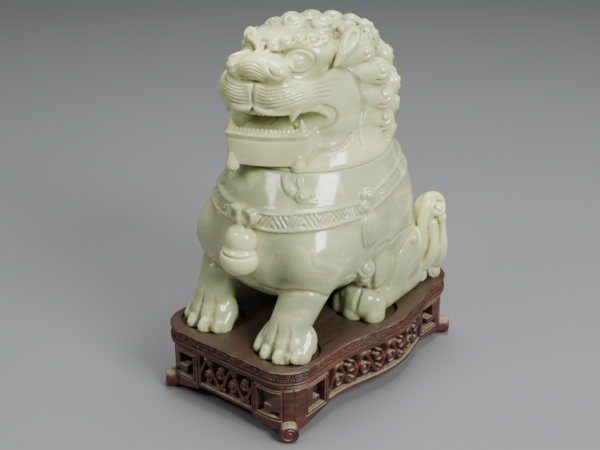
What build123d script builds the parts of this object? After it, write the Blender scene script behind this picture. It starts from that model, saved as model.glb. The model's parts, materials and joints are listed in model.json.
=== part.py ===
"""Guardian lion censer carved in jade, on a pierced hardwood stand.

Row frame: millimetres, +Z up, origin on the floor under the middle of the stand.
The lion faces -Y, and its left flank is on the +X side.
Pieces: a stand of a top board, four aprons, four corner legs, four scroll feet, four
glue blocks and their pegs; a hollow lion body that stands in sockets in the board; and
a hollow head that is the lid of the censer.
"""

import os
from math import cos, pi, radians, sin

from build123d import *

os.makedirs("parts", exist_ok=True)

# ---- stand: plan outline, seen from above ----
FRONT = 75.8  # half length of the board along Y
CORNER_X = 46.4  # half width at the corners
BULGE = 7.8  # how much further the long sides swell out
BULGE_Y = 10.5  # where along Y the swelling is greatest
BULGE_HALF = 46.0  # half length of the swelling
CORNER_R = 17.0

# ---- stand: levels ----
STAND_H = 40.0
BOARD_T = 9.6
BOARD_Z = STAND_H - BOARD_T
WAIST_H = 1.8
APRON_TOP = BOARD_Z
APRON_BOTTOM = 8.5
WALL_INSET = 1.8  # apron and leg faces stand back this far from the board's edge
WALL_T = 5.5
LEG_SPAN_X = 19.5  # the front aprons reach to this X on each side
LEG_SPAN_Y = 42.0  # the side aprons reach to this Y on each side
JOINT_GAP = 0.25
SOCKET_DEPTH = 2.0
SOCKET_GAP = 0.8
FOOT_R = 5.4
FOOT_LENGTH = 9.0
FOOT_FLAT = 0.35  # wear flat under each scroll foot
PEG_R = 1.5
PEG_LENGTH = 9.0
BLOCK_LEG = 13.0
BLOCK_H = 12.0

# ---- lion body ----
BODY_BOTTOM = STAND_H - SOCKET_DEPTH + 0.2
RIM_Z = 130.0
RIM_CENTRE = (-2.5, 3.8)
RIM_RX, RIM_RY = 39.8, 45.8
SEAT_GAP = 0.2  # hairline between the head's collar and the rim, and under the paws
MOUTH_RX, MOUTH_RY = 28.0, 33.0  # the vessel's opening
TORSO = (  # height, half width, front Y, back Y, corner radius
    (57.0, 27.0, -42.0, 54.0, 22.0),
    (66.0, 41.0, -53.0, 58.0, 30.0),
    (82.0, 47.0, -58.5, 60.0, 34.0),
    (98.0, 46.0, -57.5, 58.0, 38.0),
    (112.0, 43.0, -55.0, 54.0, 40.0),
    (122.0, 41.0, -47.5, 51.5, 39.5),
)
CAVITY = (  # height, half width, half length
    (76.0, 17.0, 22.0),
    (88.0, 31.0, 38.0),
    (108.0, 34.0, 41.0),
    (RIM_Z - 6.5, MOUTH_RX - 0.5, MOUTH_RY - 0.5),
)
PAW_X, PAW_Y = 26.0, -53.0
PAW_W, PAW_L = 29.0, 29.0
HIND_X, HIND_Y = 32.0, 8.0
HIND_W, HIND_L = 25.0, 30.0
RUMP_Y = 40.0
RUMP_W, RUMP_L = 66.0, 32.0
TOE_R = 4.4

# ---- head lid ----
HEAD_POS = (-9.0, 2.0)  # the head's own vertical axis
HEAD_TURN = 13.0  # degrees towards the lion's left
SPIGOT_GAP = 0.45
SPIGOT_DEPTH = 6.0
SPIGOT_T = 4.5
GAPE_LOW = 150.0  # heights of the lower and upper lips
GAPE_HIGH = 164.0
MANE_X, MANE_Y = 4.0, 9.0  # the mane stays over the neck while the face turns
MANE_ROWS = (  # height, ring half width, ring half length, curl radius, how many
    (138.0, 34.5, 34.0, 7.6, 9),
    (151.0, 35.5, 35.0, 7.8, 9),
    (164.5, 34.5, 34.0, 7.8, 9),
    (178.0, 30.0, 29.5, 7.6, 8),
    (190.0, 22.0, 21.5, 7.4, 6),
)
MANE_SPREAD = 104.0  # how far round each side the rows reach, in degrees


def half_width(y, inset=0.0):
    """Half width of the board's outline at Y, between the corner arcs."""
    s = (y - BULGE_Y) / BULGE_HALF
    swell = 0.5 * (1 + cos(pi * s)) if abs(s) < 1 else 0.0
    return CORNER_X + BULGE * swell - inset


def outline(inset=0.0):
    """The board's outline as a face, moved in by inset all round."""
    front = FRONT - inset
    r = CORNER_R - inset
    straight_x, straight_y = CORNER_X - CORNER_R, FRONT - CORNER_R
    stations = [straight_y * k / 6 for k in range(-6, 7)]
    right = Spline(
        *[(half_width(y, inset), y) for y in stations],
        tangents=[(0, 1), (0, 1)],
    )
    left = Spline(
        *[(-half_width(y, inset), y) for y in reversed(stations)],
        tangents=[(0, -1), (0, -1)],
    )
    lines = [
        Line((-straight_x, -front), (straight_x, -front)),
        CenterArc((straight_x, -straight_y), r, 270, 90),
        right,
        CenterArc((straight_x, straight_y), r, 0, 90),
        Line((straight_x, front), (-straight_x, front)),
        CenterArc((-straight_x, straight_y), r, 90, 90),
        left,
        CenterArc((-straight_x, -straight_y), r, 180, 90),
    ]
    return make_face(Wire(lines))


def slab(face, z0, z1):
    """A plan face raised into a solid between two heights."""
    return extrude(Pos(0, 0, z0) * face, z1 - z0)


def block(x0, x1, y0, y1, z0, z1):
    """A box given by its limits."""
    box = Box(x1 - x0, y1 - y0, z1 - z0)
    return Pos((x0 + x1) / 2, (y0 + y1) / 2, (z0 + z1) / 2) * box


def wall_ring(z0, z1, inset=WALL_INSET, thick=WALL_T):
    """The thin wall under the board that aprons and legs are cut from."""
    return slab(outline(inset), z0, z1) - slab(outline(inset + thick), z0 - 1, z1 + 1)


def rounded(w, length, r, x, y, z):
    """A round-cornered rectangle, lying flat."""
    return Pos(x, y, z) * RectangleRounded(w, length, r)


def stroke(points, width):
    """A flat band of even width along a smooth curve through 2D points."""
    return trace(Spline(*points), width)


def scroll_pattern(half, bottom, top):
    """Pierced vine scroll for an apron, drawn flat: rails, a wave and its tendrils."""
    height = top - bottom
    middle = (bottom + top) / 2
    sheet = Pos(0, top - 1.4) * Rectangle(2 * half, 2.8)
    sheet += Pos(0, bottom + 1.1) * Rectangle(2 * half, 2.2)
    for side in (-1, 1):
        sheet += Pos(side * (half - 1.0), middle) * Rectangle(2.0, height)
    bays = 2 * max(2, round(half / 11))
    step = 2 * half / bays
    swing = height * 0.27
    crests = [(-half + step * k, middle + swing * (-1) ** k) for k in range(bays + 1)]
    sheet += stroke(crests, 2.4)
    for k, (u, v) in enumerate(crests[1:-1]):
        up = -1 if k % 2 else 1
        rail = top if up > 0 else bottom
        eye = middle + up * 3.0
        sheet += Pos(u, eye) * (Circle(3.3) - Circle(1.4))
        sheet += Pos(u, (rail + eye + up * 2.4) / 2) * Rectangle(1.8, abs(rail - eye) - 2.4)
    return sheet & (Pos(0, middle) * Rectangle(2 * half, height))


def aprons():
    """The four pierced panels between the legs."""
    ring = wall_ring(APRON_BOTTOM, APRON_TOP)
    ring -= wall_ring(APRON_TOP - WAIST_H, APRON_TOP + 1, WALL_INSET - 1, 3.0)
    front_half = LEG_SPAN_X - JOINT_GAP
    side_half = LEG_SPAN_Y - JOINT_GAP
    front_sheet = scroll_pattern(front_half, APRON_BOTTOM, APRON_TOP)
    side_sheet = scroll_pattern(side_half, APRON_BOTTOM, APRON_TOP)
    made = {}
    for name, sign in (("front", -1), ("rear", 1)):
        cutter = extrude(Plane.XZ.offset(-sign * FRONT) * front_sheet, 12, both=True)
        made["apron_" + name] = ring & cutter
    for name, sign in (("left", 1), ("right", -1)):
        cutter = extrude(Plane.YZ.offset(sign * 50.0) * side_sheet, 12, both=True)
        made["apron_" + name] = ring & cutter
    return made


def leg(sx, sy):
    """A corner leg: two fret panels round the corner, and a neck down to the foot."""
    x0, y0 = LEG_SPAN_X + JOINT_GAP, LEG_SPAN_Y + JOINT_GAP
    ring = wall_ring(APRON_BOTTOM, APRON_TOP)
    ring -= wall_ring(APRON_TOP - WAIST_H, APRON_TOP + 1, WALL_INSET - 1, 3.0)
    corner = block(x0, 70, y0 - 8, 90, 0, 50) + block(x0 + 8, 70, y0, 90, 0, 50)
    corner = corner & block(x0, 70, y0, 90, 0, 50)
    made = ring & corner
    made -= fret_window(True)
    made -= fret_window(False)
    skirt = wall_ring(3.6, APRON_BOTTOM + 0.01, WALL_INSET, WALL_T + 2) & corner
    cx, cy = foot_place()
    funnel = Pos(cx - 3, cy - 3, 6.1) * Cone(6.5, 31.0, 5.0)
    neck = skirt & funnel
    neck += Pos(cx - 3.6, cy - 3.6, 8.2) * Cylinder(6.0, 5.6)
    made += neck
    made -= Pos(cx, cy, FOOT_R - FOOT_FLAT) * foot_blank(0.05)
    return place(made, sx, sy)


def fret_window(on_front):
    """The square hooked opening in one leg panel, as a cutter."""
    w, low, high, hook = 13.5, 11.8, 25.6, 3.6
    if on_front:
        a = LEG_SPAN_X + 3.2
        window = block(a, a + w, 60, 90, low, high)
        window -= block(a + w - hook, a + w, 50, 95, low + 3.2, high + 1)
        window -= block(a + 4.6, a + w, 50, 95, low + 3.2, low + 6.6)
        return window
    a = LEG_SPAN_Y + 3.2
    window = block(35, 60, a, a + w, low, high)
    window -= block(30, 65, a + w - hook, a + w, low + 3.2, high + 1)
    window -= block(30, 65, a + 4.6, a + w, low + 3.2, low + 6.6)
    return window


def foot_place():
    """Middle of the scroll foot at the (+X, +Y) corner."""
    reach = (CORNER_R - 0.6) * cos(pi / 4)
    return CORNER_X - CORNER_R + reach, FRONT - CORNER_R + reach


def foot_blank(extra=0.0):
    """A scroll foot before trimming: a short drum lying along the corner's diagonal."""
    drum = Cylinder(FOOT_R + extra, FOOT_LENGTH + 2 * extra)
    return Rot(0, 0, 45) * (Rot(0, 90, 0) * drum)


def foot(sx, sy):
    cx, cy = foot_place()
    drum = Pos(cx, cy, FOOT_R - FOOT_FLAT) * fillet(foot_blank().edges(), 1.1)
    outer_end = Pos(cx, cy, FOOT_R - FOOT_FLAT) * (
        Rot(0, 0, 45) * (Pos(FOOT_LENGTH / 2, 0, 0) * (Rot(0, 90, 0) * Cylinder(1.3, 1.6)))
    )
    made = (drum - outer_end) & block(0, 90, 0, 110, 0, 40)
    return place(made, sx, sy)


def place(solid, sx, sy):
    """Moves a piece made for the (+X, +Y) corner to the corner with these signs."""
    if sx < 0:
        solid = mirror(solid, Plane.YZ)
    if sy < 0:
        solid = mirror(solid, Plane.XZ)
    return solid


def glue_block(sx, sy):
    """A three-cornered block glued behind each leg, under the board."""
    x1 = CORNER_X - WALL_INSET - WALL_T - 3.2
    y1 = FRONT - WALL_INSET - WALL_T - 3.2
    corners = [(x1, y1), (x1 - BLOCK_LEG, y1), (x1, y1 - BLOCK_LEG)]
    face = make_face(Polyline(*corners, close=True))
    made = slab(face, BOARD_Z - BLOCK_H, BOARD_Z)
    made &= slab(outline(WALL_INSET + WALL_T + 0.05), 0, STAND_H)
    return place(made, sx, sy)


def peg_places():
    """Two pegs for each leg, in the middle of each panel's wall."""
    inset = WALL_INSET + WALL_T - PEG_R - 0.25
    for sx in (-1, 1):
        for sy in (-1, 1):
            yield sx * (LEG_SPAN_X + 5.0), sy * (FRONT - inset)
            yield sx * half_width(sy * (LEG_SPAN_Y + 5.0), inset), sy * (LEG_SPAN_Y + 5.0)


def pegs(z_low, z_high, r):
    """All pegs, or the holes that they fill."""
    height = z_high - z_low
    drilled = [Pos(x, y, z_low + height / 2) * Cylinder(r, height) for x, y in peg_places()]
    return Compound(children=drilled)


def socket_faces():
    """Plan shapes of the sockets that the lion's feet and rump stand in."""
    g = 2 * SOCKET_GAP
    for side in (-1, 1):
        yield RectangleRounded(PAW_W + g, PAW_L + g, 9.8), side * PAW_X, PAW_Y
        yield RectangleRounded(HIND_W + g, HIND_L + g, 9.8), side * HIND_X, HIND_Y
    yield RectangleRounded(RUMP_W + g, RUMP_L + g, 12.8), 0, RUMP_Y


def top_board():
    """The board: reeded edge, sockets for the lion's feet, holes for the pegs."""
    board = slab(outline(), BOARD_Z, STAND_H)
    board = fillet(board.edges().group_by(Axis.Z)[-1], 0.8)
    for z in (BOARD_Z + 2.6, BOARD_Z + 5.8):
        groove = slab(outline(-1), z, z + 0.7) - slab(outline(0.9), z - 1, z + 1.7)
        board -= groove
    for face, x, y in socket_faces():
        board -= slab(Pos(x, y) * face, STAND_H - SOCKET_DEPTH, STAND_H + 1)
    return board


# ---------------------------------------------------------------- lion ----


def ellipsoid(rx, ry, rz, x, y, z, tilt=(0, 0, 0), seam=0):
    """An ellipsoid; seam turns the line where its surface closes to a quiet side."""
    unit = Rot(0, 0, seam) * Sphere(1)
    return Pos(x, y, z) * (Rot(*tilt) * scale(unit, by=(rx, ry, rz)))


def ball(r, x, y, z):
    return Pos(x, y, z) * Sphere(r)


def rod(p, q, r0, r1):
    """A tapered round limb from p to q."""
    p, q = Vector(p), Vector(q)
    along = q - p
    plane = Plane(origin=(p + q) / 2, z_dir=along.normalized())
    return plane * Cone(r0, r1, along.length)


def ellipse_at(rx, ry, z, centre=RIM_CENTRE):
    return Pos(centre[0], centre[1], z) * Ellipse(rx, ry)


def torso():
    """Broad barrel of the body, up to the vessel's rim."""
    sections = []
    for z, half, y0, y1, r in TORSO:
        sections.append(rounded(2 * half, y1 - y0, min(r, half - 1), 0, (y0 + y1) / 2, z))
    x, y = RIM_CENTRE
    rim = rounded(2 * RIM_RX, 2 * RIM_RY, RIM_RX - 1, x, y, RIM_Z)
    return loft(sections + [rim])


def paw(x, y, w, length, top):
    """A four-toed paw standing in its socket."""
    made = loft(
        [
            rounded(w, length, 9.0, x, y, BODY_BOTTOM),
            rounded(w, length, 9.0, x, y, STAND_H + 6.0),
            rounded(w - 8, length - 8, 6.0, x, y + 2.5, top),
        ],
        ruled=True,
    )
    return made


def lion_body():
    """The standing vessel: barrel, legs, paws, haunches, tail, harness and bell."""
    body = torso()
    for side in (-1, 1):
        body += paw(side * PAW_X, PAW_Y, PAW_W, PAW_L, 57.0)
        body += rod((side * 26.5, -52, 50), (side * 31, -36, 76), 12.0, 14.0)
        body += paw(side * HIND_X, HIND_Y, HIND_W, HIND_L, 59.0)
        body += ellipsoid(15.0, 25.0, 21.0, side * 32.5, 25.0, 66.0)
        body += flank_tassel(side)
    body += slab(Pos(0, RUMP_Y) * RectangleRounded(RUMP_W, RUMP_L, 12.0), BODY_BOTTOM, 62.0)
    body += tail()
    body += rod((0, -58.0, 108), (0, -60, 97), 6.0, 7.6)
    body += ball(9.2, 0, -60.0, 88.5)
    bowl = loft([ellipse_at(rx, ry, z) for z, rx, ry in CAVITY])
    mouth = ellipse_hole(MOUTH_RX, MOUTH_RY, RIM_Z - SPIGOT_DEPTH - 2.0, RIM_Z + 5.0)
    return body - bowl - mouth


def tail():
    """The tail, swept round to the lion's left and standing up beside the rump."""
    column = ellipsoid(8.8, 12.0, 24.0, 35.0, 59.8, 66.0)
    curl = ball(8.6, 36.0, 62.0, 84.5)
    root = rod((10, 52, 52), (33, 59, 54), 9.0, 8.0)
    return column + curl + root


def flank_tassel(side):
    """Knot and tassel hanging from the harness on one flank."""
    knot = ball(5.2, side * 42.5, -9.0, 114.0)
    return knot + ellipsoid(6.0, 7.0, 11.0, side * 43.0, -11.0, 98.0)


def head_place(solid):
    """Puts a piece modelled on the head's own axes where the head sits."""
    return Pos(HEAD_POS[0], HEAD_POS[1], 0) * (Rot(0, 0, HEAD_TURN) * solid)


def mane():
    """Snail curls in rows round the sides and back of the head."""
    for z, half_x, half_y, r, count in MANE_ROWS:
        for i in range(count):
            turn = -MANE_SPREAD + 2 * MANE_SPREAD * i / (count - 1) + 0.8
            x = MANE_X - half_x * sin(radians(turn))
            y = MANE_Y + half_y * cos(radians(turn))
            outward = Rot(0, 0, turn) * (Rot(-90, 0, 0) * Sphere(r))
            yield Pos(x, y, z + 0.7 * (i % 2)) * outward


def collar():
    """Foot of the head, an oval that continues the vessel's rim."""
    return loft(
        [
            ellipse_at(RIM_RX, RIM_RY, RIM_Z + SEAT_GAP),
            ellipse_at(RIM_RX - 1.5, RIM_RY - 3.0, RIM_Z + 6.0),
            ellipse_at(RIM_RX - 7.0, RIM_RY - 10.0, RIM_Z + 14.0),
        ]
    )


def ellipse_hole(rx, ry, z0, z1):
    return extrude(ellipse_at(rx, ry, z0), z1 - z0)


def face_block():
    """Muzzle and jaw in one, with the gape cut through from the front and both sides."""
    face = fillet(block(-20, 20, -54, -8, 132.6, 181).edges(), 5.0)
    face -= block(-30, 30, -70, -49.0, 120, GAPE_LOW + 1.0)
    gape = fillet(block(-40, 40, -75, -17, GAPE_LOW, GAPE_HIGH).edges().filter_by(Axis.X), 4.0)
    return face, gape


def teeth(side):
    """Upper and lower fangs, and the tuft under the corner of the jaw."""
    upper = rod((side * 15.5, -46.5, 166), (side * 15.5, -46.8, 161.4), 3.2, 0.6)
    lower = rod((side * 16.5, -43.0, 147), (side * 16.5, -43.6, 155.5), 3.0, 0.6)
    return upper + lower


def lion_head():
    """The lid: skull, muzzle, open jaw, mane and the spigot that centres it."""
    face, gape = face_block()
    shape = ellipsoid(37.0, 36.5, 38.0, MANE_X, MANE_Y - 1.0, 160.0, seam=-90)
    for curl in mane():
        shape += curl
    shape += ellipsoid(33.5, 36.0, 33.0, 0, -4.0, 166.0, seam=-90)
    shape += face
    shape += ellipsoid(15.5, 11.0, 8.0, 0, -46.0, 184.5)
    shape += ellipsoid(11.0, 9.0, 6.0, 0, -11.0, 198.6)
    for side in (-1, 1):
        shape += ellipsoid(13.5, 13.0, 13.5, side * 15.0, -25.5, 185.5)
        shape += ellipsoid(6.0, 11.0, 12.0, side * 28.5, -9.0, 185.0, (0, side * 22, 0))
        shape += ellipsoid(11.0, 17.0, 14.0, side * 22.5, -12.0, 149.0)
    shape -= gape
    shape += block(-13, 13, -38, -12, GAPE_LOW - 3, GAPE_LOW + 2.2)
    for side in (-1, 1):
        shape += teeth(side)
    shape = head_place(shape) + collar()
    shape -= head_place(ellipsoid(24.0, 26.0, 26.0, 0, -0.5, 162.0))
    shape -= ellipse_hole(MOUTH_RX - 6.0, MOUTH_RY - 6.0, RIM_Z - 1, RIM_Z + 25)
    shape &= block(-100, 100, -100, 100, RIM_Z + SEAT_GAP, 230)
    return shape + spigot()


def spigot():
    """The oval ring under the head that drops into the vessel's mouth."""
    rx, ry = MOUTH_RX - SPIGOT_GAP, MOUTH_RY - SPIGOT_GAP
    z0 = RIM_Z - SPIGOT_DEPTH
    outer = ellipse_hole(rx, ry, z0, RIM_Z + 4.0)
    return outer - ellipse_hole(rx - SPIGOT_T, ry - SPIGOT_T, z0 - 1, RIM_Z + 5.0)


def main():
    parts = dict(aprons())
    corners = {
        "front_left": (1, -1),
        "front_right": (-1, -1),
        "rear_left": (1, 1),
        "rear_right": (-1, 1),
    }
    for where, (sx, sy) in corners.items():
        parts["leg_" + where] = leg(sx, sy)
        parts["foot_" + where] = foot(sx, sy)
        parts["glue_block_" + where] = glue_block(sx, sy)
    peg_low = BOARD_Z + 5.0 - PEG_LENGTH
    peg_set = pegs(peg_low, peg_low + PEG_LENGTH, PEG_R)
    holes = pegs(peg_low, peg_low + PEG_LENGTH, PEG_R)
    parts["top_board"] = top_board()
    for node in list(parts):
        if node == "top_board" or node.startswith("leg_"):
            parts[node] = parts[node] - holes
    parts["leg_pegs"] = peg_set
    parts["lion_body"] = lion_body()
    parts["lion_head"] = lion_head()
    for node, shape in parts.items():
        export_step(shape, f"parts/{node}.step")


main()
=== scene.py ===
"""Looks of the jade guardian lion on its hardwood stand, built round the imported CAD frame.

The jade and the stand's carving are modelled as distance fields in millimetres, polygonised,
and scaled to metres. Axes: +Z up, the lion faces -Y, its left flank is on +X.
"""

import json
import math

import bpy
import numpy as np
import openvdb
from mathutils import Matrix, Vector

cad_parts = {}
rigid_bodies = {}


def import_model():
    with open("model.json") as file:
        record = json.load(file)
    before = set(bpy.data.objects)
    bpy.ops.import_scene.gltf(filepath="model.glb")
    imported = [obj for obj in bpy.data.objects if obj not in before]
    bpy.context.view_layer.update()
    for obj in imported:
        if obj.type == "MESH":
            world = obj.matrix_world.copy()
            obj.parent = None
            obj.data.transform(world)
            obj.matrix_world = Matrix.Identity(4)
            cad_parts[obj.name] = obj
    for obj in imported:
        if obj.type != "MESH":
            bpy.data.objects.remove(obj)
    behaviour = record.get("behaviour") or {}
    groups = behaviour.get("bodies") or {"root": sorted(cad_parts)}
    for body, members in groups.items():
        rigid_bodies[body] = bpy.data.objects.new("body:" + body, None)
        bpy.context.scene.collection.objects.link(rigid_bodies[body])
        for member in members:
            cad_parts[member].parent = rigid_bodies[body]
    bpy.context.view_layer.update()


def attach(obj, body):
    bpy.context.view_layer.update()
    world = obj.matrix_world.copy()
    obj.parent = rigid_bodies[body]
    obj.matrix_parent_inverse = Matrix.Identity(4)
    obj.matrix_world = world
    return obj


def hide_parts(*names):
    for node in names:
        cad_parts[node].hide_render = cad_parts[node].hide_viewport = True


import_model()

MM = 0.001
FAR = 9.0  # distance written where nothing is near
OUTSIDE = 0.3  # least distance at the edge of a block, so that every surface closes
FACE_LIMIT = 190000
BODY_STEPS, HEAD_STEPS, BOARD_STEPS = (0.60, 0.8), (0.46, 0.7), (0.30, 0.7)  # full, quick
RNG = np.random.default_rng(7)

HEAD_TURN = math.radians(13)
HEAD_POS = (-9, 2)
RIM_Z = 130
RIM_CENTRE = (-2.5, 3.8)
MOUTH_RX, MOUTH_RY = 28, 33
COLLAR_TOP = 150
BOARD_TOP = 40
SOCKET_FLOOR = 38
PAW_BASE = 38.3
PAW_X, HIND_X = 26, 32  # middles of the fore and hind feet
STEP_BACK = 14  # how far off the clay a traced curve starts
BESIDE = 62  # X of a line clear of the flank, from which points are cast onto it


# ---------------------------------------------------------------- distance fields ----


def blend_min(a, b, k):
    """The smaller of two distances, with the join rounded over k."""
    if k <= 0:
        return np.minimum(a, b)
    h = np.maximum(k - np.abs(a - b), 0) / k
    return np.minimum(a, b) - h * h * (k * 0.25)


def blend_max(a, b, k):
    """The larger of two distances, with the join rounded over k."""
    return -blend_min(-a, -b, k)


def stroke(v, half, soft):
    """1 within half a width of zero, falling to 0 over a short way."""
    return np.clip((half - np.abs(v)) / soft, 0, 1)


def slab(v, low, high):
    """Distance outside the range from low to high."""
    return np.abs(v - (low + high) / 2) - (high - low) / 2


def unit(v):
    v = np.array(v, float)
    return v / np.linalg.norm(v)


class Egg:
    """An ellipsoid, turned by a rotation matrix whose columns are its axes."""

    def __init__(self, centre, radii, axes=None):
        self.c = np.array(centre, float)
        self.r = np.array(radii, float)
        self.axes = axes
        reach = self.r if axes is None else np.abs(axes) @ self.r
        self.low, self.high = self.c - reach, self.c + reach

    def __call__(self, x, y, z):
        p = [x - self.c[0], y - self.c[1], z - self.c[2]]
        if self.axes is not None:
            p = [sum(p[j] * self.axes[j, i] for j in range(3)) for i in range(3)]
        k0 = np.sqrt(sum((p[i] / self.r[i]) ** 2 for i in range(3)))
        k1 = np.sqrt(sum((p[i] / self.r[i] ** 2) ** 2 for i in range(3)))
        return k0 * (k0 - 1) / np.maximum(k1, 1e-4)


class Limb:
    """A tapered rod with round ends."""

    def __init__(self, a, b, ra, rb):
        self.a, self.b = np.array(a, float), np.array(b, float)
        self.ra, self.rb = ra, rb
        r = max(ra, rb)
        self.low = np.minimum(self.a, self.b) - r
        self.high = np.maximum(self.a, self.b) + r

    def __call__(self, x, y, z):
        ab = self.b - self.a
        px, py, pz = x - self.a[0], y - self.a[1], z - self.a[2]
        t = (px * ab[0] + py * ab[1] + pz * ab[2]) / max(float(ab @ ab), 1e-6)
        t = np.clip(t, 0, 1)
        d2 = (px - t * ab[0]) ** 2 + (py - t * ab[1]) ** 2 + (pz - t * ab[2]) ** 2
        return np.sqrt(d2) - (self.ra + (self.rb - self.ra) * t)


class Brick:
    """A box with rounded edges."""

    def __init__(self, low, high, r):
        self.low, self.high = np.array(low, float), np.array(high, float)
        self.c, self.h, self.r = (self.low + self.high) / 2, (self.high - self.low) / 2, r

    def __call__(self, x, y, z):
        q = [np.abs(v - c) - (h - self.r) for v, c, h in zip((x, y, z), self.c, self.h)]
        out = np.sqrt(sum(np.maximum(v, 0) ** 2 for v in q))
        inside = np.minimum(np.maximum(np.maximum(q[0], q[1]), q[2]), 0)
        return out + inside - self.r


class Shape:
    """Any distance function, with the box that it is looked at in."""

    def __init__(self, low, high, func):
        self.low, self.high, self.func = np.array(low, float), np.array(high, float), func

    def __call__(self, x, y, z):
        return self.func(x, y, z)


class Clay:
    """A block of clay on a grid: shapes are joined on, cut away, and traced as cords."""

    def __init__(self, low, high, step, sight=None):
        self.low = np.array(low, float)
        self.step = step
        self.sight = sight
        self.n = np.ceil((np.array(high, float) - self.low) / step).astype(int) + 1
        self.d = np.full(self.n, FAR, np.float32)
        cells = [low + step * np.arange(n) for low, n in zip(self.low, self.n)]
        self.ax = [ax.astype(np.float32) for ax in cells]

    def span(self, low, high):
        a = np.clip(np.floor((low - self.low) / self.step).astype(int), 0, self.n)
        b = np.clip(np.ceil((high - self.low) / self.step).astype(int) + 1, 0, self.n)
        s = tuple(slice(i, max(i, j)) for i, j in zip(a, b))
        grid = (
            self.ax[0][s[0]][:, None, None],
            self.ax[1][s[1]][None, :, None],
            self.ax[2][s[2]][None, None, :],
        )
        return s, grid

    def grid(self):
        """X, Y and Z of every cell."""
        return self.span(self.low, self.low + self.n * self.step)[1]

    def add(self, shape, k=0, sign=1):
        pad = k + 2 * self.step
        s, grid = self.span(shape.low - pad, shape.high + pad)
        self.d[s] = sign * blend_min(sign * self.d[s], shape(*grid), k)

    def cut(self, shape, k):
        self.add(shape, k, -1)

    def keep_above(self, level, k):
        self.d = -blend_min(-self.d, self.ax[2] - level, k)

    def keep_below(self, level, k):
        self.d = -blend_min(-self.d, level - self.ax[2], k)

    def groove(self, points, radii, k):
        self.cord(points, radii, k, cut=True)

    def cord(self, points, radii, k=0, cut=False):
        """A cord along points, joined on or cut as a groove."""
        pts = np.array(points, float)
        if len(pts) < 2:
            return
        r = np.array(radii, float)
        if r.ndim:
            r = np.interp(np.linspace(0, 1, len(pts)), np.linspace(0, 1, len(r)), r)
        r = np.broadcast_to(r, len(pts))
        pad = r.max() + k + 2 * self.step
        s, _ = self.span(pts.min(0) - pad, pts.max(0) + pad)
        t = np.full([q.stop - q.start for q in s], FAR, np.float32)
        for i in range(len(pts) - 1):
            low = np.minimum(pts[i], pts[i + 1]) - pad
            high = np.maximum(pts[i], pts[i + 1]) + pad
            q, grid = self.span(low, high)
            inner = tuple(slice(a.start - b.start, a.stop - b.start) for a, b in zip(q, s))
            piece = Limb(pts[i], pts[i + 1], r[i], r[i + 1])
            t[inner] = np.minimum(t[inner], piece(*grid))
        sign = -1 if cut else 1
        self.d[s] = sign * blend_min(sign * self.d[s], t, k)

    def at(self, points, field=None):
        """The field's value at points, by trilinear sampling."""
        field = self.d if field is None else field
        g = (np.asarray(points, float) - self.low) / self.step
        i = np.clip(np.floor(g).astype(int), 0, self.n - 2)
        f = np.clip(g - i, 0, 1)
        total = np.zeros(len(g))
        for corner in range(8):
            o = np.array([(corner >> b) & 1 for b in range(3)])
            w = np.prod(np.where(o, f, 1 - f), axis=1)
            j = i + o
            total += w * field[j[:, 0], j[:, 1], j[:, 2]]
        return total

    def onto(self, points, direction, reach):
        """Points moved along a direction until they meet the surface from outside."""
        pts = np.array(points, float)
        way = unit(direction)
        travel = np.arange(0, reach, self.step * 0.7)
        found = np.full(len(pts), np.nan)
        for t in travel:
            value = self.at(pts + way * t)
            hit = np.isnan(found) & (value <= 0)
            found[hit] = t
        met = ~np.isnan(found)
        return (pts + way * np.where(met, found, 0)[:, None])[met]

    def hollow(self, reach=1.8):
        """How far each place lies in a groove: the field averaged over a small box."""
        field = np.clip(self.d, -2, 2)
        m = max(1, int(round(reach / self.step)))
        for axis in range(3):
            pad = [(0, 0)] * 3
            pad[axis] = (m + 1, m)
            run = np.cumsum(np.pad(field, pad, mode="edge"), axis=axis, dtype=np.float32)
            size = field.shape[axis]
            top = np.take(run, np.arange(2 * m + 1, 2 * m + 1 + size), axis=axis)
            bottom = np.take(run, np.arange(0, size), axis=axis)
            field = (top - bottom) / (2 * m + 1)
        return field


def smooth_path(points, count):
    """A Catmull-Rom curve through points."""
    p = np.array(points, float)
    p = np.vstack([2 * p[0] - p[1], p, 2 * p[-1] - p[-2]])
    spans = len(p) - 3
    t = np.linspace(0, spans, count)
    i = np.minimum(t.astype(int), spans - 1)
    f = (t - i)[:, None]
    a, b, c, d = p[i], p[i + 1], p[i + 2], p[i + 3]
    square, cube = 2 * a - 5 * b + 4 * c - d, 3 * b - a - 3 * c + d
    return 0.5 * (2 * b + (c - a) * f + square * f**2 + cube * f**3)


def facing(normal):
    """A matrix whose third column is the normal."""
    n = unit(normal)
    e1 = unit(np.cross((0, 0, 1), n))
    return np.column_stack([e1, np.cross(n, e1), n])


def snail(clay, centre, out, r, rise=0.6, turns=1.7, spin=1, start=0, groove=0.8, k=1.4):
    """A snail curl: a low dome facing out, with a spiral groove running into its middle."""
    axes = facing(out)
    c = np.array(centre, float)
    clay.add(Egg(c, (r, r, r * rise), axes), k)
    t = np.linspace(0, 1, int(16 * turns))
    rho = r * (0.93 - 0.68 * t)
    angle = start + spin * t * turns * 2 * math.pi
    lift = r * rise * np.sqrt(np.maximum(1 - (rho / r) ** 2, 0))
    pts = c + (rho * np.cos(angle))[:, None] * axes[:, 0]
    pts = pts + (rho * np.sin(angle))[:, None] * axes[:, 1] + lift[:, None] * axes[:, 2]
    clay.groove(pts, groove * (1 - 0.35 * t), 0.5)
    clay.add(Egg(c + axes[:, 2] * r * rise * 0.82, (r * 0.2,) * 3), 0.5)


# ---------------------------------------------------------------- meshes ----


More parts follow.
